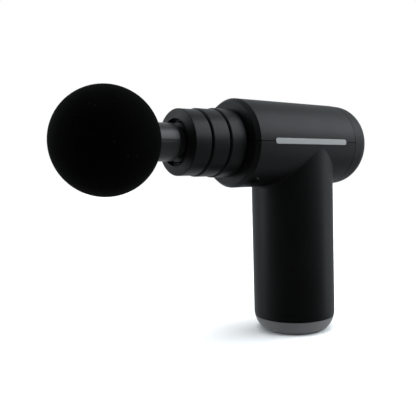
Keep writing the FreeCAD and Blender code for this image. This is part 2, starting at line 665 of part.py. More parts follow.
# ---------------------------------------------------------------- motor
def make_drive_frame():
    """One casting: a cup for the motor, a deck, two cheeks and a front plate."""
    body = new_body("drive_frame")
    low = "cup_low_z - axis_height"
    floor = f"{low} + cup_floor"
    deck = "deck_z - axis_height"
    deck_top = f"{deck} + deck_thick"
    revolve(body, "cup", [
        ("0", low), ("cup_r", low), ("cup_r", deck), ("cup_bore_r", deck),
        ("cup_bore_r", floor), ("motor_boss_r", floor),
        ("motor_boss_r", "motor_boss_top_z - axis_height"),
        ("0", "motor_boss_top_z - axis_height")], "V_Axis")
    extrude(body, "deck", "XY", [box_loop(FRAME_FRONT_X, "frame_rear_x",
                                          "-deck_half", "deck_half")], deck, "deck_thick")
    span = f"cheek_top_up - ({deck_top})"
    for name, inner, outer in (("left_cheek", "cheek_in", "deck_half"),
                               ("right_cheek", "-deck_half", "-cheek_in")):
        extrude(body, name, "XY", [box_loop(FRAME_FRONT_X, "frame_rear_x", inner, outer)],
                deck_top, span)
    extrude(body, "rear_wall", "YZ",
            [box_loop("-deck_half", "deck_half", deck_top, "cheek_top_up")],
            "frame_rear_x - frame_rear_wall", "frame_rear_wall")
    crown = "nose_screw_ring_r + 2.6"
    arch = [("-deck_half", deck_top), ("deck_half", deck_top),
            ("deck_half", f"sqrt(({crown})^2 - deck_half^2)", crown, "left"),
            ("0", crown, crown, "left"),
            ("-deck_half", f"sqrt(({crown})^2 - deck_half^2)")]
    extrude(body, "front_plate", "YZ", [arch], FRAME_FRONT_X, "frame_front_thick")
    for name, side in (("left", "shell_screw_y"), ("right", "-shell_screw_y")):
        extrude(body, name + "_foot_boss", "XY", [("shell_screw_x", side, "shell_boss_r - 0.4")],
                deck, "deck_thick + 2.3")
    extrude(body, "window", "YZ", [("0", "0", "frame_window_r")],
            FRAME_FRONT_X + " - 1", "frame_front_thick + 4", cut=True)
    cut_nose_holes(body, FRAME_FRONT_X + " - 1", "frame_front_thick + 2")
    extrude(body, "foot_bores", "XY", [("shell_screw_x", "shell_screw_y", "0.9"),
                                       ("shell_screw_x", "-shell_screw_y", "0.9")],
            f"{deck} - 1", "deck_thick + 4", cut=True)
    extrude(body, "shaft_way", "XY", [("0", "0", "low_bearing_r")],
            "low_bearing_z - axis_height", "14", cut=True)
    extrude(body, "bearing_seat", "XY", [("0", "0", "high_bearing_r")],
            f"{deck} - 1", "deck_thick + 2", cut=True)


def make_motor_bearings():
    """The shaft's two bearings: one in the boss, one in the deck."""
    tube_about_z("shaft_bearing_lower", "low_bearing_z", "low_bearing_z + bearing_high",
                 "shaft_r + slide_play", "low_bearing_r")
    tube_about_z("shaft_bearing_upper", "deck_z", "deck_z + bearing_high",
                 "shaft_r + slide_play", "high_bearing_r")


def make_stator():
    """A nine-tooth stator core, and one coil round each tooth."""
    core = new_body("stator_core", "0")
    high = "stator_top_z - stator_low_z"
    extrude(core, "hub", "XY", [("0", "0", "stator_hub_r"), ("0", "0", "motor_boss_r + slide_play")],
            "stator_low_z", high)
    shoe = "stator_r - 1.3"
    tooth = extrude(core, "tooth", "XY", [
        [("stator_hub_r - 0.6", "-tooth_half"), (shoe, "-tooth_half"),
         (f"sqrt(({shoe})^2 - 9)", "-3"), ("sqrt(stator_r^2 - 9)", "-3", "stator_r", "left"),
         ("sqrt(stator_r^2 - 9)", "3"), (f"sqrt(({shoe})^2 - 9)", "3"),
         (shoe, "tooth_half"), ("stator_hub_r - 0.6", "tooth_half")]],
        "stator_low_z", high)
    repeat_round(core, [tooth], "stator_teeth", "Z")

    coils = new_body("stator_windings", "0")
    inner, outer = "stator_hub_r + 0.5", "stator_r - 2.3"
    coil = extrude(coils, "coil", "XY", [box_loop(inner, outer, "-coil_half", "coil_half")],
                   "stator_low_z - coil_over", f"{high} + 2 * coil_over")
    slot = extrude(coils, "tooth_slot", "YZ", [box_loop("-tooth_half", "tooth_half",
                                                        "stator_low_z", "stator_top_z")],
                   "0", "stator_r", cut=True)
    repeat_round(coils, [coil, slot], "stator_teeth", "Z")


def make_rotor():
    """The rotor can, its twelve magnets and the shaft."""
    can = new_body("rotor_can", "0")
    revolve(can, "can", [
        ("shaft_r", "can_top_z"), ("shaft_r", "can_top_z - can_lid"),
        ("magnet_r", "can_top_z - can_lid"), ("magnet_r", "can_low_z"),
        ("can_r", "can_low_z"), ("can_r", "can_top_z - 1", "1", "left"),
        ("can_r - 1", "can_top_z")], "V_Axis")
    vent = extrude(can, "vent", "XY", [("8.2", "0", "1.9")], "can_top_z - 2", "4", cut=True)
    repeat_round(can, [vent], "6", "Z")

    magnets = new_body("rotor_magnets", "0")
    magnet = revolve(magnets, "magnet", box_loop("magnet_in_r", "magnet_r", "stator_low_z - 0.4",
                                                 "stator_top_z + 0.4"),
                     "V_Axis", angle=size("magnet_angle"))
    magnet.setExpression("Angle", bound("magnet_angle"))
    repeat_round(magnets, [magnet], "magnet_count", "Z")

    shaft = new_body("motor_shaft", "0")
    extrude(shaft, "shaft", "XY", [("0", "0", "shaft_r")], "shaft_low_z",
            "shaft_top_z - shaft_low_z")


def make_frame_cushion():
    """A rubber ring between the motor cup and the shelf in the handle."""
    tube_about_z("frame_cushion", "ledge_z + ledge_thick + 0.05", "cup_low_z - 0.05",
                 "cushion_in_r", "cushion_r")


# ---------------------------------------------------------------- housing
def barrel_outline(inner):
    """The barrel's wall from the front opening to the cap's joint."""
    front, inside = "face_x", "front_x + front_wall"
    rear = "cap_seam_x - seam_gap / 2"
    outside = [(front, inner),
               (front, "barrel_r - front_bevel_deep"),
               ("face_x + front_bevel_long", "barrel_r"),
               (rear, "barrel_r")]
    if inner == "0":
        return outside + [(rear, "0")]
    return outside + [(rear, "barrel_r - barrel_wall"),
                      (inside, "barrel_r - barrel_wall"),
                      (inside, inner)]


def cut_strip_recesses(body):
    """The long recesses that the side strips lie in."""
    loop = slot_loop("strip_front_x - strip_play", "strip_rear_x + strip_play",
                     "strip_half + strip_play")
    floor = "strip_in - strip_play"
    extrude(body, "right_recess", "XZ", [loop], floor, "3", cut=True)
    extrude(body, "left_recess", "XZ", [loop], f"-({floor}) - 3", "3", cut=True)


def make_upper_shell():
    """The roof of the barrel, down to the seam."""
    body = new_body("upper_shell")
    revolve(body, "wall", barrel_outline("front_opening_r"))
    extrude(body, "below_seam", "XY", [box_loop("-60", "60", "-30", "30")],
            "seam_gap / 2 - 30", "30", cut=True)
    cut_strip_recesses(body)


def is_neck(edge):
    """Whether an edge is the line where the handle meets the barrel."""
    box = edge.BoundBox
    below_axis = -10 < box.ZMax < 0 and box.ZMin > -30
    return below_axis and box.XLength > 10 and box.YLength > 10


def make_lower_shell():
    """The barrel's underside and the handle, in one moulding."""
    body = new_body("lower_shell")
    down = "- axis_height"
    revolve(body, "barrel", barrel_outline("0"))
    low = "base_seam_z + seam_gap / 2"
    foot_r = f"grip_r - base_curve_r + sqrt(base_curve_r^2 - (base_curve_z - ({low}))^2)"
    revolve(body, "grip", [
        ("0", f"{low} {down}"),
        (foot_r, f"{low} {down}", "base_curve_r", "left"),
        ("grip_r", f"base_curve_z {down}"),
        ("grip_r", "0"),
        ("0", "0")], "V_Axis")
    round_edges(body, "neck", "neck_round", is_neck)
    bore = "barrel_r - barrel_wall"
    revolve(body, "barrel_bore", [
        ("front_x - 5", "0"), ("front_x - 5", "front_opening_r"),
        ("front_x + front_wall", "front_opening_r"), ("front_x + front_wall", bore),
        ("cap_seam_x + 1", bore), ("cap_seam_x + 1", "0")], cut=True)
    grip_bore = "grip_r - grip_wall"
    revolve(body, "grip_bore", [
        ("0", f"5 {down}"), (grip_bore, f"5 {down}"),
        (grip_bore, f"ledge_z {down}"), ("ledge_r", f"ledge_z {down}"),
        ("ledge_r", f"ledge_z + ledge_thick {down}"),
        (grip_bore, f"ledge_z + ledge_thick {down}"),
        (grip_bore, "1"), ("0", "1")], "V_Axis", cut=True)
    extrude(body, "above_seam", "XY", [box_loop("-60", "60", "-30", "30")],
            "-seam_gap / 2", "30", cut=True)
    deck = "deck_z - axis_height"
    for side, y in (("left", "shell_screw_y"), ("right", "-shell_screw_y")):
        extrude(body, side + "_screw_boss", "XY", [("shell_screw_x", y, "shell_boss_r")],
                "-19", f"{deck} - 0.1 + 19")
        extrude(body, side + "_screw_well", "XY", [("shell_screw_x", y, "shell_well_r")],
                "-barrel_r - 2", "shell_well_up + barrel_r + 2", cut=True)
        extrude(body, side + "_screw_way", "XY", [("shell_screw_x", y, "1")],
                "shell_well_up - 1", "5", cut=True)
    cut_strip_recesses(body)


def make_trim_strips():
    """Bright strips along both sides of the barrel, over its seam."""
    face = "barrel_r + strip_proud"
    loop = slot_loop("strip_front_x", "strip_rear_x", "strip_half")
    for label, start in (("trim_strip_right", "strip_in"), ("trim_strip_left", "-strip_in - 3")):
        body = new_body(label)
        extrude(body, "strip", "XZ", [loop], start, "3")
        revolve(body, "face", box_loop("-60", "60", face, f"{face} + 6"), cut=True)


def make_shell_screws():
    """The screws that go up through the lower shell into the drive frame."""
    body = new_body("shell_screws")
    for side, y in (("left", "shell_screw_y"), ("right", "-shell_screw_y")):
        extrude(body, side + "_head", "XY", [("shell_screw_x", y, "shell_well_r - 0.1")],
                "shell_well_up - 1.3", "1.3")
        extrude(body, side + "_shank", "XY", [("shell_screw_x", y, "0.9")],
                "shell_well_up", "6")
        extrude(body, side + "_drive", "XY", [("shell_screw_x", y, "0.7")],
                "shell_well_up - 2.3", "1.8", cut=True)


# ---------------------------------------------------------------- rear end
def light_angle(number):
    """Where a speed light sits, on an arc above the button."""
    return f"(90 - light_step * (light_count - 1) / 2 + light_step * {number})"


def make_rear_cap():
    """The round cap that closes the barrel and carries the controls."""
    body = new_body("rear_cap")
    fall = "(cap_round_deep - cap_taper)"
    bend = f"(cap_round_long^2 + {fall}^2) / (2 * {fall})"
    start = "cap_seam_x + seam_gap / 2"
    revolve(body, "cap", [
        ("cap_spigot_x", "cap_spigot_r"),
        (start, "cap_spigot_r"),
        (start, "barrel_r"),
        ("rear_x - cap_round_long", "barrel_r - cap_taper", bend, "right"),
        ("rear_x", "barrel_r - cap_round_deep"),
        ("rear_x", "panel_seat_r"),
        ("panel_seat_x", "panel_seat_r"),
        ("panel_seat_x", "button_hole_r"),
        ("cap_wall_x", "button_hole_r"),
        ("cap_wall_x", "cap_bore_r"),
        ("cap_spigot_x", "cap_bore_r")])
    board_rear = "rear_board_x + board_thick"
    posts = [(*polar("board_boss_ring_r", angle), "board_boss_r") for angle in (90, 210, 330)]
    bores = [(across, up, "board_screw_r") for across, up, _ in posts]
    extrude(body, "board_bosses", "YZ", posts, board_rear, f"cap_wall_x - ({board_rear}) + 0.5")
    extrude(body, "boss_bores", "YZ", bores, f"{board_rear} - 1", "6", cut=True)


def make_control_panel():
    """A glossy disc in the cap's rear face, with holes for button and lights."""
    body = new_body("control_panel")
    extrude(body, "disc", "YZ", [("0", "0", "panel_r"), ("0", "0", "button_hole_r")],
            "panel_seat_x + 0.05", "panel_x - panel_seat_x - 0.05")
    holes = [(*polar("light_ring_r", light_angle(n)), "light_r")
             for n in range(int(size("light_count")))]
    extrude(body, "light_holes", "YZ", holes, "panel_seat_x - 1", "3", cut=True)

    lights = new_body("speed_lights")
    extrude(lights, "lights", "YZ", holes, "panel_seat_x + 0.1", "panel_x - panel_seat_x - 0.15")


def make_power_button():
    """The round push button, with a flange behind the wall and a pusher."""
    body = new_body("power_button")
    revolve(body, "button", [
        ("34.1", "0"), ("34.1", "1.5"), ("36", "1.5"), ("36", "button_flange_r"),
        ("cap_wall_x - 0.1", "button_flange_r"), ("cap_wall_x - 0.1", "button_r"),
        ("button_x - 0.4", "button_r", "0.4", "right"),
        ("button_x", "button_r - 0.4"),
        ("button_x - 0.5", "0")])


def make_rear_board():
    """The round board behind the button, its switch, chips and screws."""
    board = new_body("control_board")
    bores = [(*polar("board_boss_ring_r", angle), "board_screw_r") for angle in (90, 210, 330)]
    extrude(board, "disc", "YZ", [("0", "0", "rear_board_r")] + bores,
            "rear_board_x", "board_thick")

    rear = "rear_board_x + board_thick"
    switch = new_body("tact_switch")
    extrude(switch, "case", "YZ", [box_loop("-3", "3", "-3", "3")], rear, "3.2")
    extrude(switch, "stub", "YZ", [("0", "0", "1.7")], f"{rear} + 3.2", "0.6")

    chips = new_body("board_chips")
    boxes = [box_loop("-5", "5", "-12", "-5"), box_loop("-11", "-3", "0", "6"),
             box_loop("4", "8", "2", "10")]
    extrude(chips, "chips", "YZ", boxes, "rear_board_x - 1.4", "1.4")

    screws = new_body("board_screws")
    heads = [(across, up, "board_screw_r * 1.9") for across, up, _ in bores]
    extrude(screws, "shanks", "YZ", bores, "rear_board_x", "5.5")
    extrude(screws, "heads", "YZ", heads, "rear_board_x - 1.1", "1.1")


# ---------------------------------------------------------------- handle
def make_battery():
    """Two cells side by side, their end holders and the contact strips."""
    for label, y in (("battery_cell_left", "cell_y"), ("battery_cell_right", "-cell_y")):
        cell = new_body(label, "0")
        extrude(cell, "can", "XY", [("0", y, "cell_r")], "cell_low_z", "cell_long - 1")
        extrude(cell, "button", "XY", [("0", y, "3")], "cell_low_z + cell_long - 1", "1")

    cell_top = "cell_low_z + cell_long"
    flat = "main_board_x - 0.4"
    reach = f"sqrt(holder_r^2 - ({flat})^2)"
    outline = [(flat, f"{reach}", "holder_r", "left"),
               ("-holder_r", "0", "holder_r", "left"),
               (flat, f"-({reach})")]
    pockets = [("0", "cell_y", "cell_r + 0.1"), ("0", "-cell_y", "cell_r + 0.1")]
    plates = {"battery_holder_lower": ("cell_low_z - contact_thick - 0.1 - holder_thick",
                                       "cell_low_z - contact_thick - 0.1",
                                       "cell_low_z - contact_thick"),
              "battery_holder_upper": (f"{cell_top} + contact_thick + 0.1",
                                       f"{cell_top} - holder_rim", cell_top)}
    strip_seat = box_loop("-3.7", "3.7", "-13.2", "13.2")
    for label, (plate_low, rim_low, strip_low) in plates.items():
        holder = new_body(label, "0")
        extrude(holder, "plate", "XY", [outline], plate_low, "holder_thick")
        extrude(holder, "rim", "XY", [outline], rim_low,
                "holder_rim + contact_thick + 0.1")
        extrude(holder, "pockets", "XY", pockets, rim_low,
                "holder_rim + contact_thick + 0.1", cut=True)
        extrude(holder, "strip_seat", "XY", [strip_seat], f"{strip_low} - 0.05",
                "contact_thick + 0.1", cut=True)

    strips = new_body("cell_contacts", "0")
    bar = box_loop("-3.5", "3.5", "-13", "13")
    extrude(strips, "lower", "XY", [bar], "cell_low_z - contact_thick", "contact_thick")
    extrude(strips, "upper", "XY", [bar], cell_top, "contact_thick")


def make_main_board():
    """The board in the handle, with the charging port at its foot."""
    board = new_body("main_board", "0")
    extrude(board, "board", "YZ", [box_loop("-main_board_half", "main_board_half",
                                            "main_board_low_z + 8", "main_board_top_z")],
            "main_board_x", "board_thick")
    extrude(board, "tail", "YZ", [box_loop("-6", "6", "main_board_low_z",
                                           "main_board_low_z + 8.5")],
            "main_board_x", "board_thick")
    face = "main_board_x + board_thick"
    parts = new_body("main_board_parts", "0")
    boxes = [box_loop("-8", "-1", "44", "51"), box_loop("2", "8", "46", "52"),
             box_loop("-6", "6", "30", "36"), box_loop("-9", "-4", "20", "25"),
             box_loop("1", "9", "18", "26")]
    extrude(parts, "chips", "YZ", boxes, face, "1.6")
    extrude(parts, "plug", "YZ", [box_loop("-7", "7", "58", "63")], face, "4")

    port = new_body("charge_port", "0")
    middle = f"{face} + port_deep"
    outer = upright_slot_loop("-port_half", "port_half", "port_deep", middle)
    inner = upright_slot_loop("-port_half + port_wall", "port_half - port_wall",
                              "port_deep - port_wall", middle)
    extrude(port, "shell", "XY", [outer, inner], "port_low_z", "port_top_z - port_low_z")
    extrude(port, "back", "XY", [outer], "port_top_z", "0.8")
    extrude(port, "tongue", "XY", [box_loop(f"{middle} - 0.35", f"{middle} + 0.35", "-3.3", "3.3")],
            "port_low_z + 0.8", "port_top_z - port_low_z - 0.4")


def make_base():
    """The grey ring at the foot and the black plate inside it."""
    ring = new_body("base_ring", "0")
    top = "base_seam_z - seam_gap / 2"
    centre = "grip_r - base_curve_r"
    revolve(ring, "ring", [
        ("ring_in_r", "ring_low_z"),
        (f"{centre} + sqrt(base_curve_r^2 - (base_curve_z - ring_low_z)^2)", "ring_low_z",
         "base_curve_r", "left"),
        (f"{centre} + sqrt(base_curve_r^2 - (base_curve_z - ({top}))^2)", top),
        ("ring_spigot_r", top),
        ("ring_spigot_r", "ring_spigot_z"),
        ("ring_cavity_r + 0.9", "ring_spigot_z"),
        ("ring_cavity_r + 0.9", "ring_shelf_z + 2.2"),
        ("ring_cavity_r", "ring_shelf_z + 2.2"),
        ("ring_cavity_r", "ring_shelf_z"),
        ("ring_in_r", "ring_shelf_z")], "V_Axis")

    plate = new_body("base_plate", "0")
    revolve(plate, "plate", [
        ("0", "0"), ("plate_r - 0.4", "0"), ("plate_r", "0.4"),
        ("plate_r", "ring_shelf_z + 0.1"), ("plate_flange_r", "ring_shelf_z + 0.1"),
        ("plate_flange_r", "plate_top_z"), ("0", "plate_top_z")], "V_Axis")
    middle = "main_board_x + board_thick + port_deep"
    slot = upright_slot_loop("-port_half - 0.25", "port_half + 0.25", "port_deep + 0.25", middle)
    extrude(plate, "port_slot", "XY", [slot], "-1", "6", cut=True)


# ---------------------------------------------------------------- build
for make in (make_massage_ball, make_head_stem, make_stem_o_rings,
             make_nose_rings, make_nose_tube, make_guide_housing, make_guide_bushes,
             make_nose_screws, make_plunger, make_connecting_rod, make_crank_set,
             make_rod_bearing, make_wrist_pin, make_drive_frame, make_motor_bearings,
             make_stator, make_rotor, make_frame_cushion, make_upper_shell,
             make_lower_shell, make_trim_strips, make_shell_screws, make_rear_cap,
             make_control_panel, make_power_button, make_rear_board, make_battery,
             make_main_board, make_base):
    make()
doc.recompute()

for item in doc.Objects:
    if "Invalid" in item.State or "Error" in item.State:
        raise RuntimeError(f"{item.Label} is {item.State}")

os.makedirs("parts", exist_ok=True)
for body in doc.findObjects("PartDesign::Body"):
    if body.Shape.isNull() or not body.Shape.isValid():
        raise RuntimeError(f"{body.Label} has no valid shape")
    body.Shape.exportStep(f"parts/{body.Label}.step")
    print(f"{body.Label:24s} {body.Shape.Volume:10.1f} mm3, {len(body.Shape.Solids)} solids")
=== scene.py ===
import bpy
import bmesh
import json
from math import cos, pi, radians, sin, sqrt
from mathutils import Matrix, Vector

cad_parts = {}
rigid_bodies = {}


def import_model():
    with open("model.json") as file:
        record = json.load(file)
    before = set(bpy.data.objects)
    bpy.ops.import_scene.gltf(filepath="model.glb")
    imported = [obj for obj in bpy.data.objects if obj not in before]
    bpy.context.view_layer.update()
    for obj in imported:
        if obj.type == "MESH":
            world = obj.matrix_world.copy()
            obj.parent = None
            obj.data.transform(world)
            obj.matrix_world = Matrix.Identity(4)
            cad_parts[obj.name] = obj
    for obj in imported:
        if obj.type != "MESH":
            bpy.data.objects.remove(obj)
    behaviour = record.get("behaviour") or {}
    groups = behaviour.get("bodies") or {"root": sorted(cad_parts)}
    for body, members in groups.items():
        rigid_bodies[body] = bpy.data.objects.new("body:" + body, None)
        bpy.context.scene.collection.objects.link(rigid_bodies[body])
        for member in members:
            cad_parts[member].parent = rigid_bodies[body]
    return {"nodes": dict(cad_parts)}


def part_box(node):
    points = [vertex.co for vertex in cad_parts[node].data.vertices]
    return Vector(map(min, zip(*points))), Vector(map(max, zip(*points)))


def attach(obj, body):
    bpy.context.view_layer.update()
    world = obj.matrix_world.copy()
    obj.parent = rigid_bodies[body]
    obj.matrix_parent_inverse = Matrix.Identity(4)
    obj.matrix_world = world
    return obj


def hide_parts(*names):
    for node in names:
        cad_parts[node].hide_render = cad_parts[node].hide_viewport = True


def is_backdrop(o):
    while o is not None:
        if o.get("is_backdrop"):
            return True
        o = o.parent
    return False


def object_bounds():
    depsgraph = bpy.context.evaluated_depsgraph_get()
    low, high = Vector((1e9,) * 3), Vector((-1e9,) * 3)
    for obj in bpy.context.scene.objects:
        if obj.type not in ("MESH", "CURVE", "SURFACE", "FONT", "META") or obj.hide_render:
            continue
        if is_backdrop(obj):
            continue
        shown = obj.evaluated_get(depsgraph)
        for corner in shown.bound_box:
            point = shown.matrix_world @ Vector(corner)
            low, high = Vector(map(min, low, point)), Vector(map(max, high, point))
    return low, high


# %% [markdown]
# # A compact massage gun
# The object is a pistol shape: a foam ball on a short stem, a stepped nose, a round
# barrel, a round handle and a narrowed foot. The engineering model is loaded first and
# stays fixed. Blender adds what that model lacks: finishes, softened edges and small
# details. Everything is in metres, in the engineering model's own axes, so
# a piece goes where its node already is.

# %% Load the frame
for leftover in list(bpy.data.objects):
    bpy.data.objects.remove(leftover)
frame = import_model()
cad_low, cad_high = (Vector(corner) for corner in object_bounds())
MM = 0.001
print("box from the frame, mm:", [round(v / MM, 1) for v in cad_high - cad_low])

# %% [markdown]
# ## Camera
# A camera is a place, a direction and a lens. The direction is kept as three turns that
# can be read: a heading from +Y towards +X, a tilt above the horizon, and a roll. They
# are made as three rotations, one after another, so each can be changed alone.

# %% Camera
CAMERA_PLACE = Vector((-0.23024, -0.22245, 0.08734))
HEADING, TILT, ROLL = radians(37.39), radians(-3.26), radians(-1.52)
SENSOR_WIDTH, FOCAL_LENGTH = 36.0, 48.26
camera_data = bpy.data.cameras.new("studio_camera")
camera_data.sensor_width, camera_data.lens = SENSOR_WIDTH, FOCAL_LENGTH
camera_data.clip_start, camera_data.clip_end = 0.01, 20.0
camera = bpy.data.objects.new("studio_camera", camera_data)
bpy.context.scene.collection.objects.link(camera)
aim = (Matrix.Rotation(-HEADING, 4, "Z") @ Matrix.Rotation(pi / 2 + TILT, 4, "X")
       @ Matrix.Rotation(ROLL, 4, "Z"))
camera.matrix_world = Matrix.Translation(CAMERA_PLACE) @ aim
bpy.context.scene.camera = camera
ahead = -(aim.to_3x3() @ Vector((0, 0, 1)))
rightwards = aim.to_3x3() @ Vector((1, 0, 0))
print("the camera looks along", [round(v, 3) for v in ahead])

# %% [markdown]
# ## Floor and light
# A black object shows its form by what it reflects, not by its own colour. So the room
# matters more than the lamps: it is bright behind and above the object, which draws
# a light edge round each cylinder, and dim on the camera's side, which keeps the middle
# of each cylinder black. The camera itself sees an even pale backdrop. Two tall
# soft boxes stand left and right, and a wide one hangs above the barrel.

# %% Room
DAYLIGHT = (0.935, 1.0, 1.045)
DIM, BRIGHT = 0.02, 0.72
UPWARD_SHARE = 0.25


def add_room():
    """A world that lights from behind and above, and looks pale to the camera."""
    world = bpy.data.worlds.new("studio_room")
    bpy.context.scene.world = world
    world.use_nodes = True
    nodes, links = world.node_tree.nodes, world.node_tree.links
    nodes.clear()
    direction = nodes.new("ShaderNodeTexCoord").outputs["Generated"]
    facing = nodes.new("ShaderNodeVectorMath")
    facing.operation = "DOT_PRODUCT"
    links.new(direction, facing.inputs[0])
    facing.inputs[1].default_value = (ahead.x, ahead.y, UPWARD_SHARE)
    ramp = nodes.new("ShaderNodeMapRange")
    ramp.interpolation_type = "SMOOTHSTEP"
    ramp.inputs["From Min"].default_value = -0.90
    ramp.inputs["From Max"].default_value = 0.25
    ramp.inputs["To Min"].default_value = DIM
    ramp.inputs["To Max"].default_value = BRIGHT
    links.new(facing.outputs["Value"], ramp.inputs["Value"])
    lit = nodes.new("ShaderNodeBackground")
    lit.inputs["Color"].default_value = (*DAYLIGHT, 1)
    links.new(ramp.outputs["Result"], lit.inputs["Strength"])
    seen = nodes.new("ShaderNodeBackground")
    seen.inputs["Color"].default_value = (1, 1, 1, 1)
    path = nodes.new("ShaderNodeLightPath")
    choice = nodes.new("ShaderNodeMixShader")
    links.new(path.outputs["Is Camera Ray"], choice.inputs["Fac"])
    links.new(lit.outputs["Background"], choice.inputs[1])
    links.new(seen.outputs["Background"], choice.inputs[2])
    output = nodes.new("ShaderNodeOutputWorld")
    links.new(choice.outputs["Shader"], output.inputs["Surface"])


add_room()
bpy.context.scene.view_settings.view_transform = "Standard"
print("the room goes from", DIM, "in front to", BRIGHT, "behind")

# %% Soft boxes
def soft_box(name, place, size, power, target):
    """A rectangular area light that faces a point."""
    data = bpy.data.lights.new(name, "AREA")
    data.shape = "RECTANGLE"
    data.size, data.size_y = size
    data.energy = power
    data.color = DAYLIGHT
    lamp = bpy.data.objects.new(name, data)
    turn = (Vector(place) - Vector(target)).to_track_quat("Z", "Y")
    lamp.matrix_world = Matrix.Translation(place) @ turn.to_matrix().to_4x4()
    bpy.context.scene.collection.objects.link(lamp)
    print(name, "gives", power, "W")


middle = (cad_low + cad_high) / 2
flat_ahead = Vector((ahead.x, ahead.y, 0)).normalized()
flat_right = Vector((rightwards.x, rightwards.y, 0)).normalized()
# Each box: its offset right, ahead and up from the middle, its size, and its power.
SOFT_BOXES = {
    "soft_box_left": ((-0.8, 0.15, 0.2), (0.25, 0.9), 3.0),
    "soft_box_right": ((0.8, 0.12, 0.1), (0.30, 0.7), 1.2),
    "soft_box_over": ((0.55, -0.05, 0.42), (0.6, 0.5), 3.9),
}
for name, ((right, forward, up), size, power) in SOFT_BOXES.items():
    place = middle + flat_right * right + flat_ahead * forward + Vector((0, 0, up))
    soft_box(name, place, size, power, middle)

# %% Sun
def add_sun(strength):
    """An even light straight down, which keeps the floor pale to its far edge."""
    data = bpy.data.lights.new("overhead_sun", "SUN")
    data.energy = strength
    data.angle = radians(40)
    lamp = bpy.data.objects.new("overhead_sun", data)
    lamp.visible_glossy = False
    bpy.context.scene.collection.objects.link(lamp)


add_sun(3.2)

# %% Floor
FLOOR_HALF_WIDTH = 3.0
FLOOR_GREY, FLOOR_ROUGHNESS = 0.85, 0.9


def add_floor():
    """A plain pale floor under the foot."""
    bm = bmesh.new()
    bmesh.ops.create_grid(bm, x_segments=1, y_segments=1, size=FLOOR_HALF_WIDTH)
    mesh = bpy.data.meshes.new("studio_floor")
    bm.to_mesh(mesh)
    bm.free()
    floor = bpy.data.objects.new("studio_floor", mesh)
    floor.location.z = cad_low.z - 0.01 * MM
    bpy.context.scene.collection.objects.link(floor)
    paint = bpy.data.materials.new("studio_floor")
    paint.use_nodes = True
    shader = paint.node_tree.nodes["Principled BSDF"]
    shader.inputs["Base Color"].default_value = (FLOOR_GREY, FLOOR_GREY, FLOOR_GREY, 1)
    shader.inputs["Roughness"].default_value = FLOOR_ROUGHNESS
    mesh.materials.append(paint)
    floor.visible_glossy = False
    floor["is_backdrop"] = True
    print("the floor lies at", round(floor.location.z / MM, 2), "mm")


add_floor()

# %% [markdown]
# ## Writing a finish as an expression
# A procedural finish is arithmetic on patterns. Wiring Math nodes by hand hides that
# arithmetic, so a `Wire` stands for a value on its way between nodes: adding or
# multiplying two wires adds the Math node for it. A `Finish` owns one material. Its
# `node` method makes any other kind of node, and `surface` ends it in a Principled
# shader.

# %% Wires and finishes
class Wire:
    """A number that travels between shader nodes."""

    def __init__(self, finish, socket):
        self.finish = finish
        self.socket = socket

    def math(self, operation, *values):
        settings = {"operation": operation}
        return self.finish.node("ShaderNodeMath", settings, dict(enumerate(values)))

    def __add__(self, other):
        return self.math("ADD", self, other)

    def __radd__(self, other):
        return self.math("ADD", other, self)

    def __sub__(self, other):
        return self.math("SUBTRACT", self, other)

    def __rsub__(self, other):
        return self.math("SUBTRACT", other, self)

    def __mul__(self, other):
        return self.math("MULTIPLY", self, other)

    def __rmul__(self, other):
        return self.math("MULTIPLY", other, self)

    def __pow__(self, other):
        return self.math("POWER", self, other)

    def __gt__(self, other):
        return self.math("GREATER_THAN", self, other)

    def wave(self):
        return self.math("SINE", self)


class Finish:
    """One procedural material."""

    def __init__(self, name):
        self.material = bpy.data.materials.new(name)
        self.material.use_nodes = True
        self.tree = self.material.node_tree
        self.tree.nodes.clear()
        self.place = self.node("ShaderNodeTexCoord", out="Object")

    def node(self, kind, settings=None, sockets=None, out=0):
        """Any node: its settings first, then the values or wires of its sockets."""
        node = self.tree.nodes.new(kind)
        for key, value in (settings or {}).items():
            setattr(node, key, value)
        for key, value in (sockets or {}).items():
            if isinstance(value, Wire):
                self.tree.links.new(value.socket, node.inputs[key])
            else:
                node.inputs[key].default_value = value
        return Wire(self, node.outputs[out])

    def noise(self, per_metre, detail=2.0, place=None):
        """Soft random mottling, between 0 and 1."""
        sockets = {"Vector": place or self.place, "Scale": per_metre, "Detail": detail}
        return self.node("ShaderNodeTexNoise", None, sockets, "Fac")

    def cells(self, per_metre, feature="F1"):
        """The distance to the nearest of many scattered points, or to their borders."""
        sockets = {"Vector": self.place, "Scale": per_metre}
        return self.node("ShaderNodeTexVoronoi", {"feature": feature}, sockets, "Distance")

    def stretched(self, x, y, z):
        """The place, scaled along each axis, for grain that runs one way."""
        return self.node("ShaderNodeMapping", None,
                         {"Vector": self.place, "Scale": (x, y, z)})

    def axis(self, letter):
        """One coordinate of the place, in metres."""
        return self.node("ShaderNodeSeparateXYZ", None, {"Vector": self.place}, letter)

    def ramp(self, wire, low, high):
        """A wire carried from one range to 0..1, with soft ends."""
        return self.node("ShaderNodeMapRange", {"interpolation_type": "SMOOTHSTEP"},
                         {"Value": wire, "From Min": low, "From Max": high}, "Result")

    def blend(self, factor, first, second):
        """A colour between two colours."""
        return self.node("ShaderNodeMix", {"data_type": "RGBA"},
                         {0: factor, 6: first, 7: second}, 2)

    def surface(self, color, roughness, bump=None, depth=0.02, **constants):
        """Ends the finish in a Principled shader. Depth is in millimetres."""
        sockets = {"Base Color": color, "Roughness": roughness}
        sockets.update({key.replace("_", " ").title().replace("Ior", "IOR"): value
                        for key, value in constants.items()})
        if bump is not None:
            sockets["Normal"] = self.node("ShaderNodeBump", None,
                                          {"Height": bump, "Distance": depth * MM}, "Normal")
        shader = self.node("ShaderNodeBsdfPrincipled", None, sockets, "BSDF")
        output = self.tree.nodes.new("ShaderNodeOutputMaterial")
        self.tree.links.new(shader.socket, output.inputs["Surface"])
        return self.material


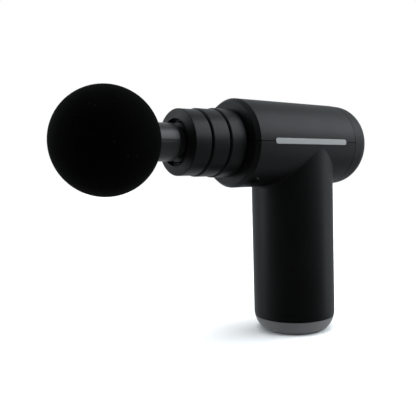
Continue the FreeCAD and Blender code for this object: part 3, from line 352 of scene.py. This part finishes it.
def grey(tone, warm=0.0):
    """A grey, a little warm or cold."""
    return (tone * (1 + warm), tone, tone * (1 - warm), 1)


# %% [markdown]
# ## The housing's finish
# Shells, collars and cap are moulded and then sprayed with a soft-touch coat. It is
# almost black, it scatters its highlights widely, and close up it has a fine,
# even grain. Handling leaves faint patches that shine a little more. A single colour
# would look like a hole in the picture, so colour, roughness and bump each get their
# own mottling at their own scale.

# %% Soft-touch coats
def soft_touch(name, tone, roughness):
    """A sprayed soft-touch coat: fine grain, faint handling marks."""
    coat = Finish(name)
    handling = coat.noise(45, 3)
    grain = coat.noise(5200, 1)
    dust = coat.ramp(coat.noise(2600, 0), 0.70, 0.80)
    shade = coat.blend(coat.ramp(handling, 0.3, 0.7), grey(tone * 0.92, -0.02),
                       grey(tone * 1.10, -0.03))
    color = coat.blend(dust * 0.10, shade, grey(tone * 3.0))
    return coat.surface(color, roughness + 0.10 * (handling - 0.5) + 0.06 * (grain - 0.5),
                        grain, 0.012, specular_ior_level=0.12)


shell_coat = soft_touch("soft_touch_housing", 0.0024, 0.44)
collar_coat = soft_touch("soft_touch_collars", 0.0022, 0.40)
cap_coat = soft_touch("soft_touch_cap", 0.0020, 0.47)

# %% [markdown]
# ## Foam
# The ball is closed-cell foam with a cut skin: it swallows light, shows tiny cells when
# a lamp grazes it, and picks up specks of dust. Scattered points give the cells,
# and the same kind of pattern, cut off very high, leaves only a few specks.

# %% Foam
def foam_finish():
    """Black closed-cell foam with fine cells and a few specks of dust."""
    foam = Finish("black_foam")
    cell = foam.cells(1500)
    fine = foam.noise(3800, 2)
    patch = foam.noise(60, 2)
    speck = foam.ramp(foam.cells(330), 0.085, 0.045)
    rare = foam.noise(170, 0) > 0.60
    base = foam.blend(foam.ramp(patch, 0.3, 0.7), grey(0.0003), grey(0.0006))
    color = foam.blend(speck * rare * 0.5, base, grey(0.02))
    return foam.surface(color, 0.86 + 0.1 * fine, cell * 0.7 + fine * 0.3, 0.09,
                        specular_ior_level=0.015, sheen_weight=0.006, sheen_roughness=0.4)


foam = foam_finish()

# %% [markdown]
# ## Satin plastic, rubber and gloss
# The stem is polished plastic, so it takes long highlights. Faint flow marks from the
# mould break them slightly. Rubber is the same black without the shine, and the control panel is
# a hard gloss under a clear coat, with a few wiping scratches.

# %% Dark plastics
def satin_plastic(name, tone, roughness, grain=2400, gloss=0.3):
    """Moulded plastic from a polished tool: faint flow marks."""
    plastic = Finish(name)
    flow = plastic.noise(90, 2, plastic.stretched(0.3, 1, 1))
    fine = plastic.noise(grain, 1)
    color = plastic.blend(flow, grey(tone * 0.8), grey(tone * 1.2))
    return plastic.surface(color, roughness + 0.10 * (flow - 0.5) + 0.05 * fine, fine, 0.004,
                           specular_ior_level=gloss)


def rubber_finish(name, tone):
    """Matte rubber with a fine moulded texture."""
    rubber = Finish(name)
    grain = rubber.cells(2600)
    cloud = rubber.noise(120, 2)
    color = rubber.blend(cloud, grey(tone * 0.7), grey(tone * 1.3))
    return rubber.surface(color, 0.72 + 0.12 * cloud, grain, 0.02, specular_ior_level=0.3)


def ribbed_rubber(name, tone):
    """Matte rubber with fine rings round the handle's axis, to grip a table."""
    rubber = Finish(name)
    across, along = rubber.axis("X"), rubber.axis("Y")
    reach = (across * across + along * along) ** 0.5
    ribs = (reach * (2 * pi / (1.3 * MM))).wave() * 0.5 + 0.5
    cloud = rubber.noise(120, 2)
    color = rubber.blend(cloud * 0.6 + ribs * 0.4, grey(tone * 0.7), grey(tone * 1.4))
    return rubber.surface(color, 0.66 + 0.14 * cloud, ribs, 0.16, specular_ior_level=0.3)


def gloss_panel():
    """Piano-black plastic under a clear coat, lightly scratched by wiping."""
    gloss = Finish("gloss_panel")
    wipe = gloss.noise(900, 3, gloss.stretched(1, 0.05, 1))
    haze = gloss.noise(70, 2)
    color = gloss.blend(haze, grey(0.004), grey(0.008))
    return gloss.surface(color, 0.07 + 0.10 * gloss.ramp(wipe, 0.55, 0.8) + 0.04 * haze,
                         wipe, 0.001, coat_weight=0.6, coat_roughness=0.04)


stem_plastic = satin_plastic("satin_stem", 0.008, 0.30)
button_plastic = satin_plastic("button_plastic", 0.022, 0.42, 4200)
inner_plastic = satin_plastic("inner_plastic", 0.030, 0.45)
chip_plastic = satin_plastic("chip_plastic", 0.014, 0.50, 5200)
seal_rubber = rubber_finish("seal_rubber", 0.010)
foot_rubber = ribbed_rubber("foot_rubber", 0.008)
panel_gloss = gloss_panel()

# %% [markdown]
# ## Metals
# A brushed or rolled metal is one colour with grain that runs one way. Stretching the
# coordinates before they reach the noise turns its spots into hairs. Equal stretching
# gives an even grain, which suits plated and machined parts that are seen small. Cast
# metal has no direction, so scattered points give it dimples instead.

# %% Metals
def brushed(name, tone, roughness, grain=(20, 900, 900), warm=0.0, metallic=1.0):
    """Brushed or rolled metal, with its grain along one axis."""
    metal = Finish(name)
    hair = metal.noise(1.0, 3, metal.stretched(*grain))
    cloud = metal.noise(80, 2)
    color = metal.blend(hair * 0.6 + cloud * 0.4, grey(tone * 0.86, warm), grey(tone * 1.1, warm))
    return metal.surface(color, roughness + 0.16 * (hair - 0.5) + 0.06 * cloud, hair, 0.003,
                         metallic=metallic)


def cast_metal(name, tone):
    """Die-cast metal: a blasted skin with small dimples."""
    metal = Finish(name)
    pits = metal.cells(1100)
    cloud = metal.noise(70, 3)
    color = metal.blend(cloud, grey(tone * 0.85), grey(tone * 1.1))
    return metal.surface(color, 0.40 + 0.18 * cloud, pits, 0.03, metallic=1.0)


trim_silver = brushed("trim_silver", 0.24, 0.48, (14, 1400, 1400))
base_metal = brushed("base_gunmetal", 0.135, 0.50, (500, 500, 2600), 0.01, 0.35)
plunger_metal = satin_plastic("plunger_anodised", 0.0015, 0.34, 2400, 0.06)
steel = brushed("plated_steel", 0.52, 0.24, (900, 900, 900), 0.015)
black_steel = brushed("blackened_steel", 0.020, 0.35, (900, 900, 900))
bearing_steel = brushed("bearing_steel", 0.62, 0.18, (700, 700, 1800))
machined = brushed("machined_alloy", 0.60, 0.32, (900, 900, 2400))
stator_steel = brushed("stator_laminations", 0.20, 0.42, (60, 60, 3200))
magnet_metal = brushed("magnet_nickel", 0.40, 0.22, (300, 300, 300), 0.03)
contact_metal = brushed("nickel_strip", 0.62, 0.30, (900, 60, 900), 0.03)
port_metal = brushed("port_steel", 0.50, 0.26, (400, 400, 1800))
frame_metal = cast_metal("cast_frame", 0.42)

# %% [markdown]
# ## Inner parts
# The inside is seen only when the model is taken apart, but each part still needs its
# own look: green boards with traces under the mask, enamelled copper, printed cell
# sleeves and black slippery bushes.

# %% Inner finishes
def circuit_board():
    """A green solder mask over copper traces."""
    board = Finish("circuit_board")
    traces = board.cells(420, "DISTANCE_TO_EDGE")
    track = board.ramp(traces, 0.10, 0.05)
    weave = board.noise(2400, 1)
    color = board.blend(track, (0.008, 0.060, 0.022, 1), (0.020, 0.130, 0.050, 1))
    return board.surface(color, 0.28 + 0.10 * weave, track * 0.8 + weave * 0.2, 0.02)


def copper_coil():
    """Enamelled wire wound side by side."""
    copper = Finish("copper_coil")
    turns = (copper.axis("Z") * (2 * pi / (0.55 * MM))).wave() * 0.5 + 0.5
    cloud = copper.noise(300, 2)
    color = copper.blend(turns * 0.7 + cloud * 0.3, (0.20, 0.055, 0.018, 1),
                         (0.62, 0.22, 0.08, 1))
    return copper.surface(color, 0.30 + 0.1 * cloud, turns, 0.12, metallic=1.0)


def cell_sleeve():
    """A shrunk plastic sleeve round a cell, with a paler band near its top."""
    sleeve = Finish("cell_sleeve")
    height = sleeve.axis("Z")
    cell_low, cell_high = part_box("battery_cell_left")
    top = sleeve.ramp(height, cell_high[2] - 5.2 * MM, cell_high[2] - 4.8 * MM)
    wrinkle = sleeve.noise(260, 3, sleeve.stretched(1, 1, 0.2))
    color = sleeve.blend(top, (0.010, 0.085, 0.190, 1), (0.55, 0.56, 0.58, 1))
    return sleeve.surface(color, 0.30 + 0.12 * wrinkle, wrinkle, 0.03)


def bush_finish():
    """Black acetal: hard, waxy, with fine turning lines."""
    bush = Finish("black_acetal")
    cloud = bush.noise(160, 2)
    lines = bush.noise(1.0, 2, bush.stretched(2600, 200, 200))
    color = bush.blend(cloud, grey(0.0012), grey(0.0020))
    return bush.surface(color, 0.20 + 0.08 * lines, lines, 0.004, specular_ior_level=0.25)


def light_pipe():
    """Frosted clear plastic that looks milky when it is off."""
    pipe = Finish("frosted_light")
    frost = pipe.noise(5200, 1)
    glow = pipe.noise(500, 1)
    color = pipe.blend(glow, grey(0.42), grey(0.56))
    return pipe.surface(color, 0.35 + 0.15 * frost, frost, 0.004)


board_green = circuit_board()
copper = copper_coil()
sleeve = cell_sleeve()
acetal = bush_finish()
frosted = light_pipe()

# %% Finishes on the fixed nodes
NODE_FINISHES = {
    shell_coat: ["upper_shell", "lower_shell"],
    cap_coat: ["rear_cap"],
    inner_plastic: ["battery_holder_lower", "battery_holder_upper"],
    acetal: ["guide_bush_rear", "guide_housing", "nose_tube"],
    steel: ["nose_screws", "crank_pin", "crank_clip", "wrist_pin", "motor_shaft",
            "board_screws"],
    machined: ["connecting_rod", "crank_disc", "rotor_can"],
    bearing_steel: ["rod_bearing", "shaft_bearing_lower", "shaft_bearing_upper"],
    frame_metal: ["drive_frame"],
    stator_steel: ["stator_core"],
    copper: ["stator_windings"],
    magnet_metal: ["rotor_magnets"],
    seal_rubber: ["frame_cushion", "stem_o_rings"],
    chip_plastic: ["tact_switch", "board_chips", "main_board_parts"],
    board_green: ["control_board", "main_board"],
    sleeve: ["battery_cell_left", "battery_cell_right"],
    contact_metal: ["cell_contacts"],
    port_metal: ["charge_port"],
    plunger_metal: ["plunger"],
    foot_rubber: ["base_plate"],
}
for finish, names in NODE_FINISHES.items():
    for name in names:
        for material_slot in frame["nodes"][name].material_slots:
            material_slot.material = finish
print("nodes with a finish:", sum(len(names) for names in NODE_FINISHES.values()))

# %% [markdown]
# ## Turned parts
# Most of this object is round, so most pieces are turned: an outline in a half-plane is
# spun about an axis, and the sharp corners that a mould or a tool would soften are
# bevelled afterwards. A bevel on the finished ring is exact all the way round.
# Bevelling the outline first would need the corner's arc worked out by hand.

# %% Lathe
axis_z = (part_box("rear_cap")[0][2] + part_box("rear_cap")[1][2]) / 2
BARREL = (Vector((0, 0, axis_z)), Vector((1, 0, 0)), Vector((0, 0, 1)))
HANDLE = (Vector((0, 0, 0)), Vector((0, 0, 1)), Vector((1, 0, 0)))
print("barrel's axis at", round(axis_z / MM, 2), "mm")


def lathe(corners, about=BARREL, steps=96):
    """Spins a closed outline of (along, out) corners, in metres, into a solid."""
    origin, along, out = about
    bm = bmesh.new()
    ring = [bm.verts.new(origin + along * c[0] + out * c[1]) for c in corners]
    edges = [bm.edges.new((ring[n - 1], ring[n])) for n in range(len(ring))]
    bmesh.ops.spin(bm, geom=ring + edges, cent=origin, axis=along, angle=2 * pi,
                   steps=steps, use_merge=True)
    bmesh.ops.remove_doubles(bm, verts=bm.verts, dist=1e-7)
    bmesh.ops.dissolve_degenerate(bm, edges=bm.edges, dist=1e-7)
    bmesh.ops.recalc_face_normals(bm, faces=bm.faces)
    return bm


def soften(bm, corner, width, about=BARREL, segments=3):
    """Bevels the ring of edges at one (along, out) corner."""
    origin, along, _ = about

    def on_ring(vert):
        offset = vert.co - origin
        height = offset.dot(along)
        reach = (offset - along * height).length
        return abs(height - corner[0]) < 2e-6 and abs(reach - corner[1]) < 2e-6

    edges = [e for e in bm.edges if all(on_ring(v) for v in e.verts)]
    if not edges:
        raise ValueError(f"no ring of edges at {corner}")
    bmesh.ops.bevel(bm, geom=edges, offset=width, segments=segments, profile=0.5,
                    affect="EDGES", material=-1)


def add_piece(bm, name, finish, body, replaces=(), sharp=38):
    """Makes an object of a mesh, hangs it on its body and hides the nodes it replaces."""
    mesh = bpy.data.meshes.new(name)
    bm.to_mesh(mesh)
    bm.free()
    for face in mesh.polygons:
        face.use_smooth = True
    mesh.set_sharp_from_angle(angle=radians(sharp))
    mesh.materials.append(finish)
    piece = bpy.data.objects.new(name, mesh)
    bpy.context.scene.collection.objects.link(piece)
    even = piece.modifiers.new("even_shading", "WEIGHTED_NORMAL")
    even.keep_sharp = True
    even.weight = 100
    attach(piece, body)
    if replaces:
        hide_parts(*replaces)
    print(name, "has", len(mesh.polygons), "faces")


def span(node):
    """A turned node's ends along the barrel and its radius."""
    low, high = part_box(node)
    return low[0], high[0], (high[1] - low[1]) / 2


# %% [markdown]
# ## Ball and stem
# The ball is a sphere with a hole where the stem goes in. Foam that is moulded round
# a stem swells up to it, so the edge of the hole is rounded, not cut. The stem is two
# mould halves' worth of plastic: a fine groove runs along both sides, where the halves
# met, and it is pressed into the turned shape by moving one line of points inwards.

# %% Ball
ball_front, _, ball_radius = span("massage_ball")
ball_middle = ball_front + ball_radius
stem_radius = 9.2 * MM
knob_radius = (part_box("head_stem")[1][1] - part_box("head_stem")[0][1]) / 2
knob_front, knob_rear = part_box("head_stem")[0][0], ball_middle + 4.0 * MM


def make_ball():
    """The foam ball, closed round the stem's knob."""
    reach = sqrt(ball_radius ** 2 - stem_radius ** 2)
    rim = (ball_middle + reach, stem_radius)
    outside = [(ball_middle - ball_radius * cos(radians(a)), ball_radius * sin(radians(a)))
               for a in range(0, 157, 3)]
    bm = lathe(outside + [rim, (knob_rear, stem_radius), (knob_rear, knob_radius),
                          (knob_front, knob_radius), (knob_front, 0)], steps=128)
    soften(bm, rim, 0.8 * MM, segments=4)
    add_piece(bm, "foam_ball", foam, "head", ["massage_ball"])


make_ball()

# %% Stem
plunger_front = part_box("plunger")[0][0]


def make_stem():
    """The hard stem with its knob, collar, shoulder and shank."""
    shank, seat = 5.9 * MM, 7.5 * MM
    groove_floor, groove_half = 4.15 * MM, 1.0 * MM
    chamfer, parting_depth = 1.0 * MM, 0.16 * MM
    collar_end = plunger_front - 4.0 * MM
    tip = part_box("head_stem")[1][0]
    touch = plunger_front - 0.05 * MM
    corners = [(knob_front, 0), (knob_front, knob_radius), (knob_rear, knob_radius),
               (knob_rear, stem_radius), (collar_end, stem_radius),
               (collar_end + 1.4 * MM, seat), (touch, seat), (touch, shank)]
    for groove in (plunger_front + 7.0 * MM, plunger_front + 14.0 * MM):
        corners += [(groove - groove_half, shank), (groove - groove_half, groove_floor),
                    (groove + groove_half, groove_floor), (groove + groove_half, shank)]
    corners += [(tip - chamfer, shank), (tip, shank - chamfer), (tip, 0)]
    bm = lathe(corners, steps=144)
    soften(bm, (collar_end, stem_radius), 0.35 * MM)
    soften(bm, (knob_front, knob_radius), 1.0 * MM)
    for vert in bm.verts:
        on_parting = abs(vert.co.z - axis_z) < 1e-6 and abs(vert.co.y) > 7 * MM
        if on_parting and knob_rear < vert.co.x < collar_end:
            vert.co.y *= 1 - parting_depth / stem_radius
    add_piece(bm, "head_stem_moulding", stem_plastic, "head",
              ["head_stem"])


make_stem()

# %% [markdown]
# ## Nose collars
# Three collars stand one behind another, each a little larger than the one before, like
# a telescope. Their front edges are well rounded and a dark gap parts them. The
# front collar slopes in to a thin round lip, the mouth that the stem moves in.

# %% Collars
tube_radius = 15.1 * MM


def make_front_collar():
    """The collar with the slope and the mouth."""
    front, rear, radius = span("nose_ring_front")
    mouth, inside = 11.4 * MM, 13.7 * MM
    lip_rear = front + 1.5 * MM
    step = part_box("nose_tube")[0][0] - 0.1 * MM
    rim = (front + 0.3 * MM, mouth + 0.5 * MM)
    slope_end = (front + 1.4 * MM, radius - 0.2 * MM)
    corners = [(front, mouth), rim, slope_end, (front + 1.7 * MM, radius),
               (rear, radius), (rear, tube_radius), (step, tube_radius), (step, inside),
               (lip_rear, inside), (lip_rear, mouth)]
    bm = lathe(corners, steps=144)
    soften(bm, rim, 0.15 * MM)
    soften(bm, slope_end, 0.12 * MM)
    soften(bm, (rear, radius), 0.25 * MM)
    add_piece(bm, "collar_front", collar_coat, "housing",
              ["nose_ring_front"])


def make_plain_collar(name, node):
    """A straight collar with a rounded front edge."""
    front, rear, radius = span(node)
    bm = lathe([(front, tube_radius), (front, radius), (rear, radius), (rear, tube_radius)],
               steps=144)
    soften(bm, (front, radius), 0.9 * MM, segments=6)
    soften(bm, (rear, radius), 0.25 * MM)
    add_piece(bm, name, collar_coat, "housing", [node])


make_front_collar()
make_plain_collar("collar_middle", "nose_ring_middle")
make_plain_collar("collar_rear", "nose_ring_rear")

# %% [markdown]
# ## Slide ring
# The plunger runs in a bush just behind the mouth. Its outer face has two low ridges,
# which are drawn as corners of the outline and then softened, because a ridge that is
# turned in one piece with the bush has no joint to hide.

# %% Slide ring in the mouth
def make_slide_ring():
    """The front bush. Two rounded ridges on its face keep dust away from the plunger."""
    front, rear, radius = span("guide_bush_front")
    bore = (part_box("plunger")[1][1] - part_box("plunger")[0][1]) / 2 + 0.05 * MM
    valley, crown = front + 0.45 * MM, front
    ridges = [(crown, bore + 0.25 * MM), (crown, bore + 0.50 * MM),
              (crown + 0.1 * MM, bore + 1.10 * MM), (crown + 0.1 * MM, bore + 1.35 * MM)]
    corners = [(valley, bore), ridges[0], ridges[1], (valley, bore + 0.7 * MM),
               (valley, bore + 0.9 * MM), ridges[2], ridges[3], (valley, bore + 1.6 * MM),
               (valley, radius), (rear, radius), (rear, bore)]
    bm = lathe(corners, steps=128)
    for corner in ridges:
        soften(bm, corner, 0.08 * MM)
    add_piece(bm, "slide_ring", acetal, "housing",
              ["guide_bush_front"])


make_slide_ring()

# %% [markdown]
# ## Side strips
# A bright strip lies in a groove along each side of the barrel, over the joint of the
# two shells. It has round ends, a bevelled edge and a flat face. A grid with round ends
# would be long to write: here a box is bevelled at the four corners of its outline,
# which rounds the ends, then bevelled thinly round its outer face. A last inset keeps
# the shading of the face flat up to the bevel.

# %% Strips
def make_strip(name, node, side):
    """One strip. Side is -1 or 1, the side of the middle plane it lies on."""
    low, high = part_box(node)
    length, height = high[0] - low[0], high[2] - low[2]
    back = min(abs(low[1]), abs(high[1]))
    face = max(abs(low[1]), abs(high[1])) - 0.02 * MM
    bm = bmesh.new()
    made = bmesh.ops.create_cube(bm, size=1.0)
    size = Vector((length, face - back, height))
    centre = Vector(((low[0] + high[0]) / 2, side * (face + back) / 2, axis_z))
    bmesh.ops.scale(bm, vec=size, verts=made["verts"])
    bmesh.ops.translate(bm, vec=centre, verts=made["verts"])
    through = [e for e in bm.edges
               if abs(e.verts[0].co.y - e.verts[1].co.y) > (face - back) / 2]
    bmesh.ops.bevel(bm, geom=through, offset=height / 2 - 0.01 * MM, segments=10,
                    profile=0.5, affect="EDGES", material=-1)
    outer = [e for e in bm.edges
             if all(abs(abs(v.co.y) - face) < 1e-6 for v in e.verts)]
    bmesh.ops.bevel(bm, geom=outer, offset=0.16 * MM, segments=2, profile=0.5,
                    affect="EDGES", material=-1)
    flat = max(bm.faces, key=lambda each: each.calc_area())
    bmesh.ops.inset_individual(bm, faces=[flat], thickness=0.05 * MM, depth=0)
    add_piece(bm, name, trim_silver, "housing", [node], 50)


make_strip("side_strip_right", "trim_strip_right", -1)
make_strip("side_strip_left", "trim_strip_left", 1)

# %% [markdown]
# ## Screws and painted-shade plugs
# Two screws join the shells from below, each at the bottom of a well. A black plug
# fills the well: it is painted shade, a near-black piece that stands in for the dark
# inside the hole. The barrel is round, so a plug with a flat end would stand proud on
# one side: it is cut by a plane square to the barrel's surface direction there, and
# the cut is filled. Screws, plugs and lights come in sets, so one helper joins the
# turned parts of a set in a single mesh.

# %% Screws, and plugs of painted shade in the wells
def join_part(bm, part):
    """Adds the mesh of a turned part to a set, and frees the part."""
    carrier = bpy.data.meshes.new("carrier")
    part.to_mesh(carrier)
    part.free()
    bm.from_mesh(carrier)
    bpy.data.meshes.remove(carrier)


def make_shell_screws():
    """Two pan-head screws, one in each well."""
    low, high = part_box("shell_screws")
    head, neck, head_thick = 1.6 * MM, 0.9 * MM, 1.3 * MM
    x, y = (low[0] + high[0]) / 2, (high[1] - low[1]) / 2 - head
    length = high[2] - low[2]
    bm = bmesh.new()
    for side in (-1, 1):
        centre = Vector((x, side * y, low[2]))
        about = (centre, Vector((0, 0, 1)), Vector((1, 0, 0)))
        screw = lathe([(0, 0), (0, head), (head_thick, head), (head_thick, neck),
                       (length, neck), (length, 0)], about, 32)
        soften(screw, (0, head), 0.4 * MM, about)
        join_part(bm, screw)
    add_piece(bm, "well_screws", black_steel, "housing", ["shell_screws"])


make_shell_screws()


def make_painted_shade_plugs():
    """A black plug of painted shade in each well, cut along the barrel and set a little inside
    it.
    """
    low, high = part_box("shell_screws")
    x, y = (low[0] + high[0]) / 2, (high[1] - low[1]) / 2 - 1.8 * MM
    barrel_radius, shade_plug_radius, inset = 23.0 * MM, 1.87 * MM, 0.15 * MM
    bm = bmesh.new()
    for side in (-1, 1):
        foot = Vector((x, side * y, axis_z - barrel_radius))
        length = low[2] - foot.z - 0.05 * MM
        about = (foot, Vector((0, 0, 1)), Vector((1, 0, 0)))
        plug = lathe([(0, 0), (0, shade_plug_radius), (length, shade_plug_radius), (length, 0)], about, 48)
        outwards = Vector((0, side * y, -sqrt(barrel_radius ** 2 - y ** 2))).normalized()
        skin = Vector((x, 0, axis_z)) + outwards * (barrel_radius - inset)
        cut = bmesh.ops.bisect_plane(plug, geom=plug.verts[:] + plug.edges[:] + plug.faces[:],
                                     plane_co=skin, plane_no=outwards, clear_outer=True)
        rim = [e for e in cut["geom_cut"] if isinstance(e, bmesh.types.BMEdge)]
        bmesh.ops.edgeloop_fill(plug, edges=rim)
        bmesh.ops.recalc_face_normals(plug, faces=plug.faces)
        join_part(bm, plug)
    # The near-black foam finish makes each plug painted shade: it stands in for the dark of the
    # well.
    add_piece(bm, "painted_shade_plugs", foam, "housing")


make_painted_shade_plugs()

# %% [markdown]
# ## Controls on the rear end
# The rear face carries a glossy disc. In its middle is the push button, dished so that
# a thumb finds it, with a ring round it. An arc of small lights above it shows the
# speed. The disc gets a raised rim and a shallow turned step, because a flat gloss
# face without an edge to catch the light looks like a hole.

# %% Panel
panel_low, panel_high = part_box("control_panel")
panel_face, panel_back = panel_high[0], panel_low[0]
panel_radius = (panel_high[1] - panel_low[1]) / 2
button_hole = 6.2 * MM
DISH_DEPTH = 0.5 * MM


def make_panel():
    """The gloss disc with its rim and the step round the button."""
    step = 0.12 * MM
    corners = [(panel_back, button_hole), (panel_face, button_hole),
               (panel_face, button_hole + 0.7 * MM),
               (panel_face - step, button_hole + 0.9 * MM),
               (panel_face - step, panel_radius - 0.9 * MM),
               (panel_face, panel_radius - 0.7 * MM),
               (panel_face, panel_radius), (panel_back, panel_radius)]
    bm = lathe(corners, steps=128)
    soften(bm, (panel_face, panel_radius), 0.15 * MM)
    soften(bm, (panel_face, button_hole), 0.12 * MM)
    add_piece(bm, "control_disc", panel_gloss, "housing",
              ["control_panel"], 25)


def make_button():
    """The dished push button with its flange and pusher."""
    low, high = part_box("power_button")
    face, radius = high[0], 6.0 * MM
    flange, pusher = (high[1] - low[1]) / 2, 1.5 * MM
    flange_back, flange_front = low[0] + 1.9 * MM, low[0] + 3.0 * MM
    dish = [(face - DISH_DEPTH * (1 - (n / 6) ** 2), 5.2 * MM * n / 6) for n in range(7)]
    corners = [(low[0], 0), (low[0], pusher), (flange_back, pusher),
               (flange_back, flange), (flange_front, flange),
               (flange_front, radius), (face, radius)] + dish[::-1]
    bm = lathe(corners, steps=96)
    soften(bm, (face, radius), 0.35 * MM, segments=4)
    add_piece(bm, "push_button", button_plastic, "power_button",
              ["power_button"])


make_panel()
make_button()

# %% Power sign
def make_power_sign():
    """The usual sign for on and off: an open ring and a bar, a hair proud."""
    origin, along, out = BARREL
    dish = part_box("power_button")[1][0] - DISH_DEPTH
    sunk, proud = dish - 0.05 * MM, dish + 0.12 * MM
    inside, outside, gap = 1.55 * MM, 1.95 * MM, radians(38)
    bm = bmesh.new()
    ring = [(sunk, inside), (proud, inside), (proud, outside), (sunk, outside)]
    verts = [bm.verts.new(origin + along * c[0] + out * c[1]) for c in ring]
    bmesh.ops.rotate(bm, cent=origin, matrix=Matrix.Rotation(gap, 3, "X"), verts=verts)
    face = bm.faces.new(verts)
    bmesh.ops.spin(bm, geom=[face] + list(face.edges) + verts, cent=origin, axis=along,
                   angle=2 * pi - 2 * gap, steps=40)
    bar = bmesh.ops.create_cube(bm, size=1.0)["verts"]
    bmesh.ops.scale(bm, vec=(0.17 * MM, 0.4 * MM, 1.5 * MM), verts=bar)
    bmesh.ops.translate(bm, vec=origin + Vector((dish + 0.035 * MM, 0, 1.45 * MM)), verts=bar)
    bmesh.ops.remove_doubles(bm, verts=bm.verts, dist=1e-7)
    bmesh.ops.recalc_face_normals(bm, faces=bm.faces)
    add_piece(bm, "power_sign", frosted, "power_button", sharp=30)


make_power_sign()

# %% Speed lights
def make_lights():
    """Five small domed lights on an arc above the button."""
    low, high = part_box("speed_lights")
    count, step, ring = 5, radians(24), 10.2 * MM
    radius, rise = 0.8 * MM * 0.96, 0.25 * MM
    bm = bmesh.new()
    for number in range(count):
        angle = pi / 2 + step * (number - (count - 1) / 2)
        centre = Vector((0, ring * cos(angle), axis_z + ring * sin(angle)))
        about = (centre, Vector((1, 0, 0)), Vector((0, 0, 1)))
        dome = [(high[0] - rise * (1 - cos(radians(a))), radius * sin(radians(a)))
                for a in (90, 60, 30, 0)]
        light = lathe([(low[0], 0), (low[0], radius)] + dome, about, 24)
        join_part(bm, light)
    add_piece(bm, "speed_light_domes", frosted, "housing",
              ["speed_lights"])


make_lights()

# %% [markdown]
# ## Foot
# The handle ends in a grey metal ring that carries on the handle's curve inwards, and
# a black rubber plate inside it, which is what the gun stands on. The plate keeps its
# own mesh, which has the slot for the charging plug, and its rubber brings the fine
# rings that grip a table.

# %% Base ring
def make_base_ring():
    """The curved grey ring, with a softened lower edge and a chamfered top."""
    low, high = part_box("base_ring")
    bottom = low[2]
    curve_radius, curve_height, grip_radius = 13.6 * MM, 10.6 * MM, 22.7 * MM
    centre = grip_radius - curve_radius
    top = 7.5 * MM
    heights = [bottom + (top - bottom) * n / 12 for n in range(13)]
    curve = [(z, centre + sqrt(curve_radius ** 2 - (curve_height - z) ** 2))
             for z in heights]
    spigot, bore, ledge, mouth = 20.3 * MM, 19.8 * MM, 18.9 * MM, 17.4 * MM
    ledge_top, ledge_bottom = 4.4 * MM, 2.2 * MM
    inside = [(top, spigot), (high[2], spigot), (high[2], bore),
              (ledge_top, bore), (ledge_top, ledge), (ledge_bottom, ledge),
              (ledge_bottom, mouth), (bottom, mouth)]
    bm = lathe(curve + inside, HANDLE, 144)
    soften(bm, curve[-1], 0.15 * MM, HANDLE)
    soften(bm, curve[0], 0.25 * MM, HANDLE)
    add_piece(bm, "foot_ring", base_metal, "housing", ["base_ring"])


make_base_ring()
